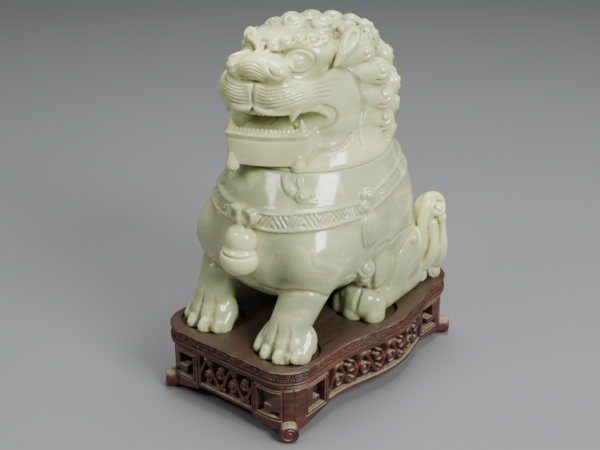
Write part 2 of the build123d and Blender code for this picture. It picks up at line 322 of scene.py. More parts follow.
def mesh_from(name, points, faces, material, **layers):
    """A smooth-shaded object, with named values at its vertices."""
    mesh = bpy.data.meshes.new(name)
    mesh.from_pydata(np.asarray(points, float).tolist(), [], np.asarray(faces).tolist())
    mesh.update()
    for layer, values in layers.items():
        data = mesh.attributes.new(layer, "FLOAT", "POINT").data
        data.foreach_set("value", np.asarray(values, np.float32))
    mesh.polygons.foreach_set("use_smooth", np.ones(len(mesh.polygons), bool))
    mesh.materials.append(material)
    obj = bpy.data.objects.new(name, mesh)
    bpy.context.scene.collection.objects.link(obj)
    return obj


def largest_shells(points, quads, smallest=60):
    """Drops crumbs: closed shells with only a few points."""
    parent = np.arange(len(points))
    edges = np.vstack([quads[:, [0, 1]], quads[:, [1, 2]], quads[:, [2, 3]]])
    while True:
        before = parent.copy()
        low = parent[edges].min(axis=1)
        np.minimum.at(parent, edges[:, 0], low)
        np.minimum.at(parent, edges[:, 1], low)
        parent = parent[parent]
        if (parent == before).all():
            break
    good = np.bincount(parent, minlength=len(points))[parent] >= smallest
    index = np.cumsum(good) - 1
    return points[good], index[quads[good[quads[:, 0]]]]


def carve_out(clay, name, material, place=None, reach=1.8, painted_glow=None):
    """The clay's surface as an object, in metres, thinned to the face limit."""
    field = clay.d.copy()
    for axis in range(3):
        ends = np.moveaxis(field, axis, 0)
        ends[[0, -1]] = np.maximum(ends[[0, -1]], OUTSIDE)
    grid = openvdb.FloatGrid()
    grid.background = FAR
    grid.copyFromArray(field)
    points, _, quads = grid.convertToPolygons(isovalue=0.0, adaptivity=0.0)
    points, quads = largest_shells(points, quads)
    points = points * clay.step + clay.low
    layers = {"hollow": clay.at(points, clay.hollow(reach))}
    # painted glow: a per-vertex amount of painted highlight and glow, a brighter yellow tint at
    # given places
    if painted_glow:
        layers["painted_glow_mask"] = painted_glow(points)
    if place:
        points = place(points)
    obj = mesh_from(name, points * MM, quads, material, **layers)
    if 2 * len(quads) > FACE_LIMIT:
        thin = obj.modifiers.new("thin", "DECIMATE")
        thin.ratio = FACE_LIMIT / (2 * len(quads))
        graph = bpy.context.evaluated_depsgraph_get()
        lean = bpy.data.meshes.new_from_object(obj.evaluated_get(graph))
        obj.modifiers.clear()
        obj.data = lean
        lean.polygons.foreach_set("use_smooth", np.ones(len(lean.polygons), bool))
    return obj


def mirrored(obj, name, axis):
    """A mirror image of a piece across X or Y."""
    twin = obj.copy()
    twin.data = obj.data.copy()
    twin.name = name
    twin.data.name = name
    sign = [1, 1, 1]
    sign[axis] = -1
    twin.data.transform(Matrix.Diagonal((*sign, 1)))
    twin.data.flip_normals()
    bpy.context.scene.collection.objects.link(twin)
    return twin


# ---------------------------------------------------------------- materials ----


def new_material(name):
    material = bpy.data.materials.new(name)
    material.use_nodes = True
    tree = material.node_tree
    tree.nodes.clear()
    out = tree.nodes.new("ShaderNodeOutputMaterial")
    shader = tree.nodes.new("ShaderNodeBsdfPrincipled")
    tree.links.new(shader.outputs[0], out.inputs[0])
    return material, Nodes(tree), shader


class Nodes:
    """Short names for the few kinds of shader node used here."""

    def __init__(self, tree):
        self.tree = tree
        self.coords = tree.nodes.new("ShaderNodeTexCoord").outputs["Object"]

    def fill(self, node, sockets):
        """Gives each named socket its number, its colour or another node's output."""
        for key, value in sockets.items():
            if isinstance(value, bpy.types.NodeSocket):
                self.tree.links.new(value, node.inputs[key])
            else:
                node.inputs[key].default_value = value

    def make(self, kind, sockets, **settings):
        node = self.tree.nodes.new("ShaderNode" + kind)
        for key, value in settings.items():
            setattr(node, key, value)
        self.fill(node, sockets)
        return node.outputs

    def mapped(self, scale, offset=(0, 0, 0)):
        sockets = {"Scale": scale, "Location": offset, "Vector": self.coords}
        return self.make("Mapping", sockets)[0]

    def noise(self, scale, detail=4, rough=0.55, distort=0, vector=None):
        sockets = {"Scale": scale, "Detail": detail, "Roughness": rough, "Distortion": distort}
        sockets["Vector"] = self.coords if vector is None else vector
        return self.make("TexNoise", sockets)["Fac"]

    def steps(self, value, low, high, to_low=0, to_high=1):
        sockets = {"Value": value, "From Min": low, "From Max": high}
        sockets.update({"To Min": to_low, "To Max": to_high})
        return self.make("MapRange", sockets, interpolation_type="SMOOTHSTEP")["Result"]

    def maths(self, kind, a, b):
        return self.make("Math", {0: a, 1: b}, operation=kind)[0]

    def mix(self, factor, a, b):
        a, b = ((*c, 1) if isinstance(c, tuple) else c for c in (a, b))
        return self.make("Mix", {0: factor, 6: a, 7: b}, data_type="RGBA")[2]

    def attribute(self, name):
        return self.make("Attribute", {}, attribute_name=name)["Fac"]

    def bump(self, height, strength, distance, **below):
        sockets = {"Height": height, "Strength": strength, "Distance": distance}
        return self.make("Bump", {**sockets, **below})[0]


JADE_GREEN = (0.345, 0.405, 0.205)
JADE_GREY = (0.41, 0.465, 0.262)
JADE_CREAM = (0.73, 0.72, 0.385)
JADE_DEEP = (0.23, 0.31, 0.14)
STAIN = (0.40, 0.29, 0.12)
JADE_FLECK = (0.8, 0.8, 0.66)
# painted glow: the brighter yellow colour painted onto the jade where light is meant to glint and
# glow
JADE_PAINTED_GLOW = (0.78, 0.79, 0.39)
BOARD_DARK, BOARD_RED = (0.020, 0.009, 0.007), (0.125, 0.034, 0.019)
WALL_DARK, WALL_RED = (0.024, 0.009, 0.008), (0.100, 0.024, 0.016)
WORN, PORE, DUST = (0.42, 0.26, 0.17), (0.018, 0.010, 0.008), (0.30, 0.25, 0.15)
# near-black colour that upward-facing wood faces are darkened towards
UPWARD_DARK = (0.022, 0.014, 0.010)


def jade_material():
    material, n, shader = new_material("jade")
    cloud = n.noise(22, 3, 0.55, 0.6)
    veil = n.noise(46, 5, 0.6, 1.2, n.mapped((1, 1, 1.8), (0.3, 0.1, 0.2)))
    fleck = n.noise(260, 3, 0.6)
    colour = n.mix(n.steps(cloud, 0.38, 0.62), JADE_GREEN, JADE_GREY)
    colour = n.mix(n.steps(veil, 0.46, 0.74, 0, 0.6), colour, JADE_CREAM)
    colour = n.mix(n.steps(veil, 0.40, 0.26, 0, 0.55), colour, JADE_DEEP)
    colour = n.mix(n.steps(fleck, 0.62, 0.75, 0, 0.25), colour, JADE_FLECK)
    # painted highlight and glow: the places given by the glow function are painted brighter and
    # yellower, standing in for light on the jade
    painted_glow_mask = n.attribute("painted_glow_mask")
    colour = n.mix(n.maths("MULTIPLY", painted_glow_mask, 0.7), colour, JADE_PAINTED_GLOW)
    hollow = n.attribute("hollow")
    patchy = n.steps(n.noise(90), 0.3, 0.6, 0.35, 1)
    dirt = n.maths("MULTIPLY", n.steps(hollow, -0.10, -0.52), patchy)
    colour = n.mix(n.maths("MULTIPLY", dirt, 0.75), colour, STAIN)
    rough = n.steps(n.noise(150), 0.35, 0.7, 0.09, 0.17)
    polish = n.bump(n.noise(320, 2), 0.25, 0.00012)
    looks = {
        "Base Color": colour,
        "Subsurface Weight": 0.42,
        "Subsurface Radius": (0.9, 1, 0.6),
        "Subsurface Scale": 0.006,
        "IOR": 1.61,
        "Roughness": n.maths("ADD", rough, n.maths("MULTIPLY", dirt, 0.3)),
        "Normal": n.bump(n.noise(60, 2), 0.35, 0.0006, Normal=polish),
    }
    n.fill(shader, looks)
    return material


def wood_material(name, dark, red, dust_low, dust_high, upward_darkening=0):
    """Old rosewood: long grain, worn edges, and dust where the carving is deep."""
    material, n, shader = new_material(name)
    grain = n.noise(420, 6, 0.65, 0.4, n.mapped((1, 0.09, 1)))
    pores = n.noise(1500, 3, 0.6, 0, n.mapped((0.5, 0.045, 0.5)))
    patch = n.noise(40, 4, 0.6)
    colour = n.mix(n.steps(grain, 0.35, 0.68), dark, red)
    colour = n.mix(n.steps(patch, 0.42, 0.66, 0, 0.5), colour, tuple(1.25 * c for c in red))
    colour = n.mix(n.steps(pores, 0.55, 0.7, 0, 0.55), colour, PORE)
    hollow = n.attribute("hollow")
    worn = n.steps(n.noise(200), 0.42, 0.66)
    worn = n.maths("MULTIPLY", n.steps(hollow, 0.22, 0.62), worn)
    colour = n.mix(n.maths("MULTIPLY", worn, 0.65), colour, WORN)
    normal = n.make("SeparateXYZ", {0: n.make("NewGeometry", {})["Normal"]})
    upward = n.steps(normal[2], 0.45, 0.9)
    # upward-facing faces are made darker, by the given amount, towards near black
    colour = n.mix(n.maths("MULTIPLY", upward, upward_darkening), colour, UPWARD_DARK)
    deep = n.maths("MAXIMUM", upward, n.steps(hollow, -0.15, -0.7, 0, 0.6))
    dust = n.steps(n.noise(700, 3, 0.7), 0.3, 0.6, dust_low, dust_high)
    dust = n.maths("MULTIPLY", deep, dust)
    rough = n.steps(grain, 0.3, 0.7, 0.30, 0.46)
    looks = {
        "Base Color": n.mix(dust, colour, DUST),
        "Roughness": n.maths("ADD", rough, n.maths("MULTIPLY", dust, 0.4)),
        "Normal": n.bump(grain, 0.4, 0.0003, Normal=n.bump(pores, 0.3, 0.0002)),
    }
    n.fill(shader, looks)
    return material


def plain_wood(name, colour, deep):
    material, n, shader = new_material(name)
    grain = n.noise(500, 6, 0.6, 0.3, n.mapped((1, 1, 0.12)))
    colour = n.mix(n.steps(grain, 0.35, 0.65), deep, colour)
    normal = n.bump(grain, 0.4, 0.0003)
    n.fill(shader, {"Base Color": colour, "Roughness": 0.7, "Normal": normal})
    return material


# ---------------------------------------------------------------- lion's body ----

# height, half width, front Y, back Y, squareness of the plan
BARREL = np.array(
    [
        (54, 16, -26, 40, 2.2),
        (58, 27, -39, 50, 2.3),
        (64, 35.5, -49, 54, 2.4),
        (72, 41.5, -54.5, 57.5, 2.5),
        (82, 45, -57, 59, 2.6),
        (98, 44.8, -56.6, 58, 2.6),
        (112, 42.4, -53.5, 55, 2.5),
        (122, 40.6, -47, 52, 2.3),
        (130, 39.4, -41.5, 49.2, 2.05),
        (140, 37, -36, 45, 2),
    ]
)
BARREL_KNOTS, BARREL_SOFT = 120, 5  # levels of the stack, and how many each way are averaged
BAND_HALF = 4.4
BAND_GIRTH, BAND_CELL = 46, 6.4  # radius that turns angle into length, and length of one cell
BAND_LINE = (
    (-62, -54, -46, -34, -24, -14, 1, 14.5, 32, 45, 62),
    (108.6, 109, 110.8, 111.2, 110.8, 110.2, 112.8, 115.6, 118.6, 120.3, 121),
)
SIGHT = (-0.5699, 0.6986, -0.4327)  # the way the front left three-quarter face is looked at


def barrel(x, y, z):
    """The vessel's outside, a stack of rounded plans."""
    level = np.clip(z, BARREL[0, 0], BARREL[-1, 0])
    knots = np.linspace(BARREL[0, 0], BARREL[-1, 0], BARREL_KNOTS)
    window = 2 * BARREL_SOFT + 1
    rows = []
    for column in range(1, 5):
        rough = np.interp(knots, BARREL[:, 0], BARREL[:, column])
        padded = np.pad(rough, BARREL_SOFT, mode="edge")
        soft = np.convolve(padded, np.ones(window) / window, mode="valid")
        rows.append(np.interp(level, knots, soft).astype(np.float32))
    half, y0, y1, power = rows
    shift = RIM_CENTRE[0] * np.clip((z - 112) / 18, 0, 1)
    u = np.abs(x - shift) / half
    v = np.abs(y - (y0 + y1) / 2) / ((y1 - y0) / 2)
    k = (u**power + v**power) ** (1 / power)
    side = (k - 1) * half
    return np.maximum(side, (BARREL[0, 0] - 1) - z)


def band_height(y):
    """Height of the harness's middle line at a place along the body."""
    return np.interp(y, *BAND_LINE).astype(np.float32)


def flip(points, side):
    """Points given for the left side, mirrored when the side is the right one."""
    return np.array(points, float) * (side, 1, 1)


def traced(clay, points, side, count=24):
    """A smooth curve laid on the clay, looked at along the carver's sight line."""
    way = flip(clay.sight, side)
    path = smooth_path(flip(points, side), count)
    return clay.onto(path - unit(way) * STEP_BACK, way, 3 * STEP_BACK)


def engrave(clay, points, side, radii, k, count=24):
    """A groove along a curve that the carver sees."""
    clay.groove(traced(clay, points, side, count), radii, k)


def flank_spot(clay, side, y, z):
    """The point of the flank at a given Y and height."""
    return clay.onto([(side * BESIDE, y, z)], (-side, 0, 0), 40)[0]


def fan(middle, x, share, y, z):
    """A point of a toe's line, part of the way from the paw's middle out to the toe."""
    return middle + share * (x - middle), y, z


def front_leg(clay, side):
    """A fore leg leaning forward to a broad paw with four clawed toes."""
    clay.add(Egg((side * 30.5, -33, 87), (14.5, 21, 18)), 8)
    top = 30 if side > 0 else 27
    clay.add(Limb((side * top, -38, 78), (side * PAW_X, -51, 54), 12.6, 10.4), 3)
    clay.add(Egg((side * PAW_X, -53, 46.5), (13.4, 12, 9.4)), 3)
    clay.add(Egg((side * 27, -48, 42), (12.6, 9, 8)), 2.5)
    toes = ((14.6, -63, 5), (21.8, -66.6, 5.6), (29.7, -66.2, 5.7), (37, -60.6, 5.2))
    for x, y, r in toes:
        heel, knuckle = fan(PAW_X, x, 0.45, -49, 55), fan(PAW_X, x, 0.9, y + r + 6.6, 48)
        toe = [heel, knuckle, (x, y + r, 42.2)]
        clay.cord(smooth_path(flip(toe, side), 10), (r * 0.7, r * 0.9, r, r), 0.8)
        clay.add(Egg((side * x, y + r, 40.6), (r * 0.96, r, r * 0.9)), 0.7)
        claw = [(x, y + 1.6, 44.2), (x, y - 0.6, 41.8), (x, y + 0.4, 39.4)]
        clay.cord(smooth_path(flip(claw, side), 6), (2.5, 2.2, 1.3), 0.4)
    for left, right in zip(toes[:-1], toes[1:]):
        x = (left[0] + right[0]) / 2
        gap = [fan(PAW_X, x, 0.78, -80, 58), fan(PAW_X, x, 0.92, -80, 53.5)]
        gap = smooth_path(flip(gap + [(x, -80, 47.5), (x, -80, 39.6)], side), 18)
        clay.groove(clay.onto(gap, (0, 1, 0), 45), (0.3, 1.1, 1.5, 1.4), 0.7)


def hind_leg(clay, side):
    """A folded hind leg: haunch, knee lobe, shank and a foot beside the belly."""
    clay.add(Egg((side * 31, 28, 64), (15.5, 26, 21)), 5)
    clay.add(Egg((side * 37.8, 5.5, 69.5), (8.8, 9.4, 14.2)), 1)
    clay.add(Egg((side * HIND_X, 4.5, 47), (12.4, 12, 10.6)), 2)
    clay.add(Limb((side * 36, 15, 46.5), (side * 31, 42, 48), 8.2, 11.5), 4)
    for x, y, r in ((20.5, -5.6, 4.9), (29.8, -8.2, 6.3), (40.2, -4.2, 6.4)):
        toe = [fan(HIND_X, x, 0.5, 6, 51.5), fan(HIND_X, x, 0.9, y + 8.5, 48.2), (x, y + r, 42.4)]
        clay.cord(smooth_path(flip(toe, side), 9), (r * 0.8, r, r), 0.8)
        clay.add(Egg((side * x, y + r, 40.6), (r * 0.97, r, r * 0.9)), 0.7)
    for x in (25.2, 35.2):
        gap = [
            fan(HIND_X, x, 0.5, 2, 59), fan(HIND_X, x, 0.9, -3, 54.5), (x, -7.6, 48), (x, -9, 39),
        ]
        clay.groove(smooth_path(flip(gap, side), 12), (0.5, 1.1, 1.5, 1.6), 0.7)


def flank_lines(clay, side):
    """Engraved outlines of leg and haunch, and the curls of hair at elbow and hip."""
    belly = [
        (9, -53, 71.5), (16, -52, 71), (22, -52, 72), (30, -51, 74.5), (36, -46, 74),
        (39, -36, 68), (38.5, -28, 61),
    ]
    engrave(clay, belly, side, (0.5, 0.9, 1, 0.8), 1)
    lobe = [
        (43.3, 2.1, 56.5), (44.5, -5, 62), (46.5, -8, 72), (44.6, -3.7, 81.5), (44.5, 4, 85),
        (44.5, 11, 83),
    ]
    engrave(clay, lobe, side, (0.9, 1.3, 1.1, 0.7), 1.1, 30)
    inner = [(44.9, 13.6, 79), (45.5, 14, 70), (44.5, 12.5, 61), (44, 9, 56)]
    engrave(clay, inner, side, (0.5, 1.1, 0.8), 1)
    haunch = [(44.6, 12, 84), (44.5, 22, 86), (44, 32, 85), (42, 42, 80)]
    engrave(clay, haunch, side, (0.6, 0.9, 0.6), 1)
    root = [(44.6, -12.5, 71), (42.5, -14.8, 67), (39, -17.8, 63), (34, -22, 58.5)]
    clay.cord(traced(clay, root, side), (3.6, 2.6, 1.4), 1.5)
    elbow, out = flip((43.8, -10.8, 75.6), side), (side * 0.86, -0.4, 0.25)
    snail(clay, elbow, out, 5.4, 0.62, 1.1, side, 1, 0.8, 0.8)
    hip = flank_spot(clay, side, 33, 76) - (side * 1.2, 0, 0)
    snail(clay, hip, (side, 0.1, 0.3), 6.4, 0.55, 1.4, side, 0.5, 0.85, 1)
    sweep = [(44, 20, 73), (45, 25.5, 79.5), (44, 33, 82.5), (42.5, 40, 79), (42.5, 41.5, 72)]
    engrave(clay, sweep, side, (0.5, 0.9, 0.9, 0.5), 0.9)


def harness(clay):
    """A woven band round the body, with raised borders and slanting strokes."""
    x, y, z = clay.grid()
    off = np.abs(z - band_height(y))
    close = np.abs(clay.d) < 6
    strap = 0.7 * stroke(off, BAND_HALF + 0.5, 0.45)
    rim = 0.55 * np.clip(1 - np.abs(off - BAND_HALF + 0.75) / 0.8, 0, 1)
    phase = np.arctan2(x, -(y - 3)) * BAND_GIRTH / BAND_CELL
    cell = np.floor(phase)
    turn = np.where(np.mod(cell, 2) < 1, 1, -1)
    lean = (z - band_height(y)) / (BAND_HALF - 1.3)
    stripe = np.abs(np.mod((phase - cell + turn * lean * 0.30) * 3, 1) - 0.5)
    lines = stroke(stripe, 0.27, 0.16)
    inner = stroke(off, BAND_HALF - 1.35, 0.35)
    clay.d -= np.where(close, strap + rim - 0.75 * lines * inner, 0).astype(np.float32)


def bell_and_bow(clay):
    """The gourd-shaped bell under a two-looped bow at the middle of the chest."""
    clay.add(Egg((0, -58, 97), (8.7, 8.2, 8.4)), 1)
    clay.add(Egg((0, -59.8, 87.2), (10.5, 9.6, 9.2)), 0.8)
    for z, r in ((91, 9.4), (93.8, 8.8)):
        ring = [(r * math.sin(a), -58.6 - r * math.cos(a), z) for a in np.linspace(-1.6, 1.6, 36)]
        clay.groove(ring, 0.65, 0.4)
    clay.add(Limb((0, -57, 106), (0, -58, 103), 3.2, 3.4), 1)
    for side in (-1, 1):
        loop = []
        for a in np.linspace(0, 2 * math.pi, 24):
            loop.append((side * (4.6 - 3.1 * math.cos(a)), -58.3, 110.6 + 3.5 * math.sin(a)))
        clay.add(Egg((side * 4.6, -55.8, 110.6), (5, 3.2, 4.8)), 0.8)
        clay.cord(loop, 1.25, 0.6)
        clay.cut(Egg((side * 4.6, -60.6, 110.6), (1.7, 2.6, 2.2)), 0.6)
    clay.add(Egg((0, -58.4, 109.8), (1.9, 2.8, 4.4)), 0.6)


def flank_tassel(clay, side):
    """A knotted rosette on the band, with an oval grooved tassel under it."""
    out = (side * 0.95, -0.25, 0.15)
    for y, z, r, spin in ((-8, 115.6, 4.8, side), (-11.6, 110.6, 3.8, -side)):
        knot = flank_spot(clay, side, y, z) + (side * 0.5, 0, 0)
        snail(clay, knot, out, r, 0.62, 1, spin, 0, 0.65, 0.8)
    hang = flank_spot(clay, side, -10, 98)
    axes = facing((side, -0.22, 0.05))
    clay.add(Egg(hang, (7.8, 10.6, 3.8), axes), 0.8)
    for k in range(-3, 4):
        line = []
        for t in np.linspace(-1, 1, 14):
            across = 2.1 * k * math.sqrt(max(0, 1 - 0.8 * t * t))
            line.append(hang + axes[:, 2] * 9 + axes[:, 0] * across + axes[:, 1] * (9.8 * t))
        clay.groove(clay.onto(line, -axes[:, 2], 14), 0.5, 0.35)


def chin_curls(clay):
    """Low relief locks of beard on the shoulders, under the corners of the jaw."""
    leaf = [
        (15, -42, 130), (17.5, -43, 125.5), (21.5, -41.5, 121.5), (26.5, -39, 119),
        (33, -33.5, 117.6),
    ]
    clay.cord(traced(clay, leaf, 1) + (-0.5, 1.2, -0.6), (2.2, 3.2, 2.8, 1.3), 0.6)
    edge = [(21.5, -38, 129.5), (22.5, -39, 126), (26.5, -37.5, 123.5), (29, -36, 121)]
    clay.cord(traced(clay, edge, 1), (1.5, 1.6, 1), 0.5)
    place = traced(clay, [(24.5, -39.5, 121.2), (25.5, -39, 121)], 1, 2)[0]
    snail(clay, place, (0.5, -0.8, 0.35), 3.6, 0.6, 1.2, -1, 1, 0.6, 0.5)
    moon = [(-19, -41, 129), (-17.5, -44, 125), (-19.5, -46, 120.5), (-25, -44.5, 117.2)]
    clay.cord(traced(clay, moon, 1), (2.4, 2.2, 1.4, 0.9), 0.7)
    moon = [(-25, -37, 128.5), (-23, -41, 124), (-25.5, -42, 120)]
    clay.cord(traced(clay, moon, 1), (1.6, 1.3, 0.8), 0.5)


def tail(clay):
    """The tail: flowing strands that rise and curl over at the top, at the rear left."""
    strands = (
        (((27, 50, 50), (33, 55, 54), (36.5, 56.5, 64), (36, 55.5, 76), (35, 55.5, 84)), 5, 5.4),
        (((30, 58, 46), (36, 61, 52), (38, 62.5, 62), (37, 62.5, 74), (37, 60.5, 84)), 5.2, 5),
        (((36, 52, 48), (40, 55, 54), (41.6, 56.5, 64), (40.4, 57, 76)), 3.4, 3),
        (((35, 62, 45), (40.5, 64, 50), (42, 64.5, 58), (41, 64.5, 68), (40.5, 63, 78)), 3.6, 3.2),
        (((26, 60, 50), (31, 64.5, 58), (32.5, 66, 68), (33, 65, 80)), 4, 3.8),
    )
    for points, r0, r1 in strands:
        clay.cord(smooth_path(points, 22), (r0, r0 * 1.08, r1), 0.5)
    clay.add(Egg((36.5, 58, 85), (7.6, 7.6, 7)), 1.2)
    rise = [
        (37.5, 50, 66), (38.5, 49.8, 76), (38, 52.5, 85.5), (37.5, 57, 90.5), (40, 61.5, 89.5),
        (42.6, 61.5, 85.5),
    ]
    clay.cord(smooth_path(rise, 26), (2.2, 3.2, 3.6, 3, 2.6), 0.5)
    snail(clay, (42.4, 58.5, 84.8), (0.75, -0.4, 0.5), 4.6, 0.7, 1.1, 1, 0.6, 0.8, 0.5)
    snail(clay, (43, 62, 78.6), (0.85, -0.2, 0.3), 3.4, 0.7, 1, -1, 0.6, 0.6, 0.5)
    flow = [(41.5, 60, 77), (43.2, 60.5, 70), (42.5, 61, 62), (40.5, 60, 54), (37, 57, 47)]
    engrave(clay, flow, 1, (0.6, 1, 1, 0.7), 0.7)
    flow = [(38.5, 54, 78), (39.5, 54, 70), (39.5, 54.5, 62), (38, 53, 54)]
    engrave(clay, flow, 1, (0.6, 0.9, 0.9, 0.6), 0.7)
    snail(clay, (39, 62.5, 43.2), (0.75, -0.45, 0.4), 4.4, 0.8, 1.1, -1, 0, 0.7, 0.8)
    snail(clay, (37, 51.5, 44.5), (0.85, -0.4, 0.3), 4.6, 0.7, 1.1, 1, 0, 0.7, 0.8)


def oval(x, y, rx, ry):
    """Distance outside an upright oval round the rim's middle."""
    k = np.sqrt(((x - RIM_CENTRE[0]) / rx) ** 2 + ((y - RIM_CENTRE[1]) / ry) ** 2)
    return (k - 1) * rx


def bowl_hole(x, y, z):
    """The hollow of the vessel and the oval mouth that the head's spigot drops into."""
    level = np.clip(z, 70, 160)
    knots = (76, 82, 88, 100, 112, 122, 200)
    rx = np.interp(level, knots, (14, 25, 30.5, 33.5, 33, 28.3, MOUTH_RX)).astype(np.float32)
    ry = np.interp(level, knots, (18, 31, 37.5, 40.5, 40, 33.3, MOUTH_RY)).astype(np.float32)
    return np.maximum(oval(x, y, rx, ry), 76 - z)


def sculpt_body(step):
    clay = Clay((-57, -76, 36), (57, 77, 133), step, SIGHT)
    clay.add(Shape(clay.low, clay.low + clay.n * step, barrel))
    for side in (-1, 1):
        front_leg(clay, side)
        hind_leg(clay, side)
    clay.add(Egg((0, 40, 56), (33, 19, 26)), 7)
    harness(clay)
    for side in (-1, 1):
        flank_lines(clay, side)
        flank_tassel(clay, side)
    chin_curls(clay)
    bell_and_bow(clay)
    tail(clay)
    clay.cut(Shape((-45, -45, 70), (40, 55, 200), bowl_hole), 1.5)
    clay.keep_above(PAW_BASE, 0.6)
    clay.keep_below(RIM_Z, 0.5)
    return clay


# ---------------------------------------------------------------- lion's head ----


def head_plan(x, y):
    """Plan position in the row frame of a place given in the head's own axes."""
    c, s = math.cos(HEAD_TURN), math.sin(HEAD_TURN)
    return HEAD_POS[0] + x * c - y * s, HEAD_POS[1] + x * s + y * c


def collar_shape(x, y, z):
    """The neck that carries the rim's oval up under the jaw, in the head's own axes."""
    x, y = head_plan(x, y)
    level = np.clip(z, RIM_Z, COLLAR_TOP)
    rx = np.interp(level, (130, 133, 138, 146), (39.4, 38.9, 36.5, 30)).astype(np.float32)
    ry = np.interp(level, (130, 133, 138, 146), (45.4, 44.4, 39, 30)).astype(np.float32)
    front = np.clip(-(y - RIM_CENTRE[1]) / 40, 0, 1)
    ry = ry - (2.4 + 3.2 * np.clip((level - 130.4) / 3, 0, 1)) * front
    return np.maximum(oval(x, y, rx, ry), z - COLLAR_TOP)


def oval_in_head(rx, ry, z0, z1):
    def func(x, y, z):
        return np.maximum(oval(*head_plan(x, y), rx, ry), slab(z, z0, z1))

    return Shape((-48, -48, z0), (56, 56, z1), func)


JAW_TURN = math.radians(16)  # the jaw's front faces a little further left than the mane
JAW_TIP = (0, -49)
JAW_BOW = 54
JAW_LOW, JAW_HIGH = 132.9, 150.8


def jaw_line(u, inset=0):
    """Plan position on the jaw's front, u along it from the middle, a little way in."""
    c, s = math.cos(JAW_TURN), math.sin(JAW_TURN)
    v = u * u / (2 * JAW_BOW) + inset
    return JAW_TIP[0] + u * c - v * s, JAW_TIP[1] + u * s + v * c


def jaw_shape(x, y, z):
    """The box-like lower jaw, bowed in front and flaring back into the cheeks."""
    c, s = math.cos(JAW_TURN), math.sin(JAW_TURN)
    u = (x - JAW_TIP[0]) * c + (y - JAW_TIP[1]) * s
    v = -(x - JAW_TIP[0]) * s + (y - JAW_TIP[1]) * c
    lean = (150 - z) * 0.05
    front = np.sqrt(u * u + (v - JAW_BOW) ** 2) - (JAW_BOW - lean)
    left = (u - 24 - 0.34 * (v - 5.4)) / 1.06 + 0.02 * (150 - z)
    right = -u - 17.6 + 0.04 * (150 - z)
    d = blend_max(front, left, 0.7)
    d = blend_max(d, right, 1.4)
    d = blend_max(d, JAW_LOW - z, 1)
    d = blend_max(d, z - JAW_HIGH, 1)
    return np.maximum(d, y + 12)


HEAD_SIGHT = (-0.398, 0.809, -0.433)  # SIGHT in the head's own axes


def muzzle(clay):
    """Broad upper muzzle with its heavy lip, whisker grooves and split upper lip."""
    clay.add(Brick((-20, -55.5, 164), (20, -12, 182), 8.5), 3)
    clay.add(Brick((-16.5, -54, 164.2), (16.5, -22, 174), 4.5), 2.5)
    for side in (-1, 1):
        clay.add(Egg((side * 9.8, -46.5, 172), (10.2, 10, 8.4)), 1.6)
        clay.add(Egg((side * 18.5, -32, 170.5), (8, 18, 10)), 5)
        lip = [
            (1, -54.6, 166.4), (7.5, -54.8, 164.9), (13.4, -51.6, 164.6), (17.6, -46, 165),
            (22, -37.5, 164.6), (25.5, -30, 162.6),
        ]
        clay.cord(smooth_path(flip(lip, side), 30), (1.5, 2, 2.1, 2, 1.7, 1.2), 1.6)
        for k in range(6):
            z = 169.2 + 1.75 * k
            first = 2.2 + 0.5 * k
            line = [
                (first, -57, z - 0.4), (9, -57, z - 1), (15.5, -53, z - 0.6),
                (20.5, -46, z + 0.4), (23.5 - 0.4 * k, -38, z + 0.6),
            ]
            engrave(clay, line, side, (0.3, 0.62, 0.62, 0.5, 0.2), 0.45, 34)
        for k in range(4):
            z = 168.4 + 2.3 * k
            line = [(24, -37, z), (26, -31, z - 0.2), (28 - 0.3 * k, -25 + k, z - 1.2)]
            engrave(clay, line, side, (0.3, 0.7, 0.3), 0.4, 22)
    split = smooth_path([(0, -70, z) for z in (179, 174, 167, 163)], 14)
    clay.groove(clay.onto(split, (0, 1, 0), 40), (0.8, 1.2), 0.8)


def nose(clay):
    """The bulbous nose: a broad wrinkled ball whose nostril wings curl under."""
    clay.add(Egg((0.5, -43, 185), (15.5, 11.5, 6.2)), 1.6)
    clay.add(Egg((0.3, -48.8, 185.2), (11.8, 8, 6.6)), 1)
    for side in (-1, 1):
        clay.add(Egg((side * 11.4, -47.6, 184), (5.8, 7.4, 5.4)), 2.2)
        clay.cut(Egg((side * 8.6, -57, 181.4), (3, 2.6, 1.1)), 1)
        wing = [(7.4, -58, 190), (8.8, -60, 187), (11.4, -60, 184.6), (14.6, -60, 184)]
        met = clay.onto(smooth_path(flip(wing, side), 18), (0, 1, -0.1), 30)
        clay.groove(met, (0.4, 0.75, 0.6), 0.6)
        under = [
            (0, -68, 179.2), (5, -68, 178.8), (9.5, -68, 178.6), (13.5, -66, 179.8),
            (16.5, -62, 183),
        ]
        met = clay.onto(smooth_path(flip(under, side), 24), (0, 1, 0), 40)
        clay.groove(met, (0.9, 1.1, 1.1, 0.8), 0.7)
        back = [(17.6, -50, 187.5), (13.5, -44.5, 192), (7, -42, 193.2), (0, -41.5, 193.4)]
        if side > 0:
            met = traced(clay, back, side, 20)
        else:
            met = clay.onto(smooth_path(flip(back, side), 20) + (0, 0, 8), (0, 0.3, -1), 16)
        clay.groove(met, 0.9, 1)
    for k in range(6):
        z = 193 - 1.75 * k
        half = 5.4 + 0.35 * k
        line = [(x, -66, z - 0.06 * x * x) for x in np.linspace(-half, half, 16)]
        clay.groove(clay.onto(line, (0, 0.85, -0.3), 40), 0.4, 0.35)


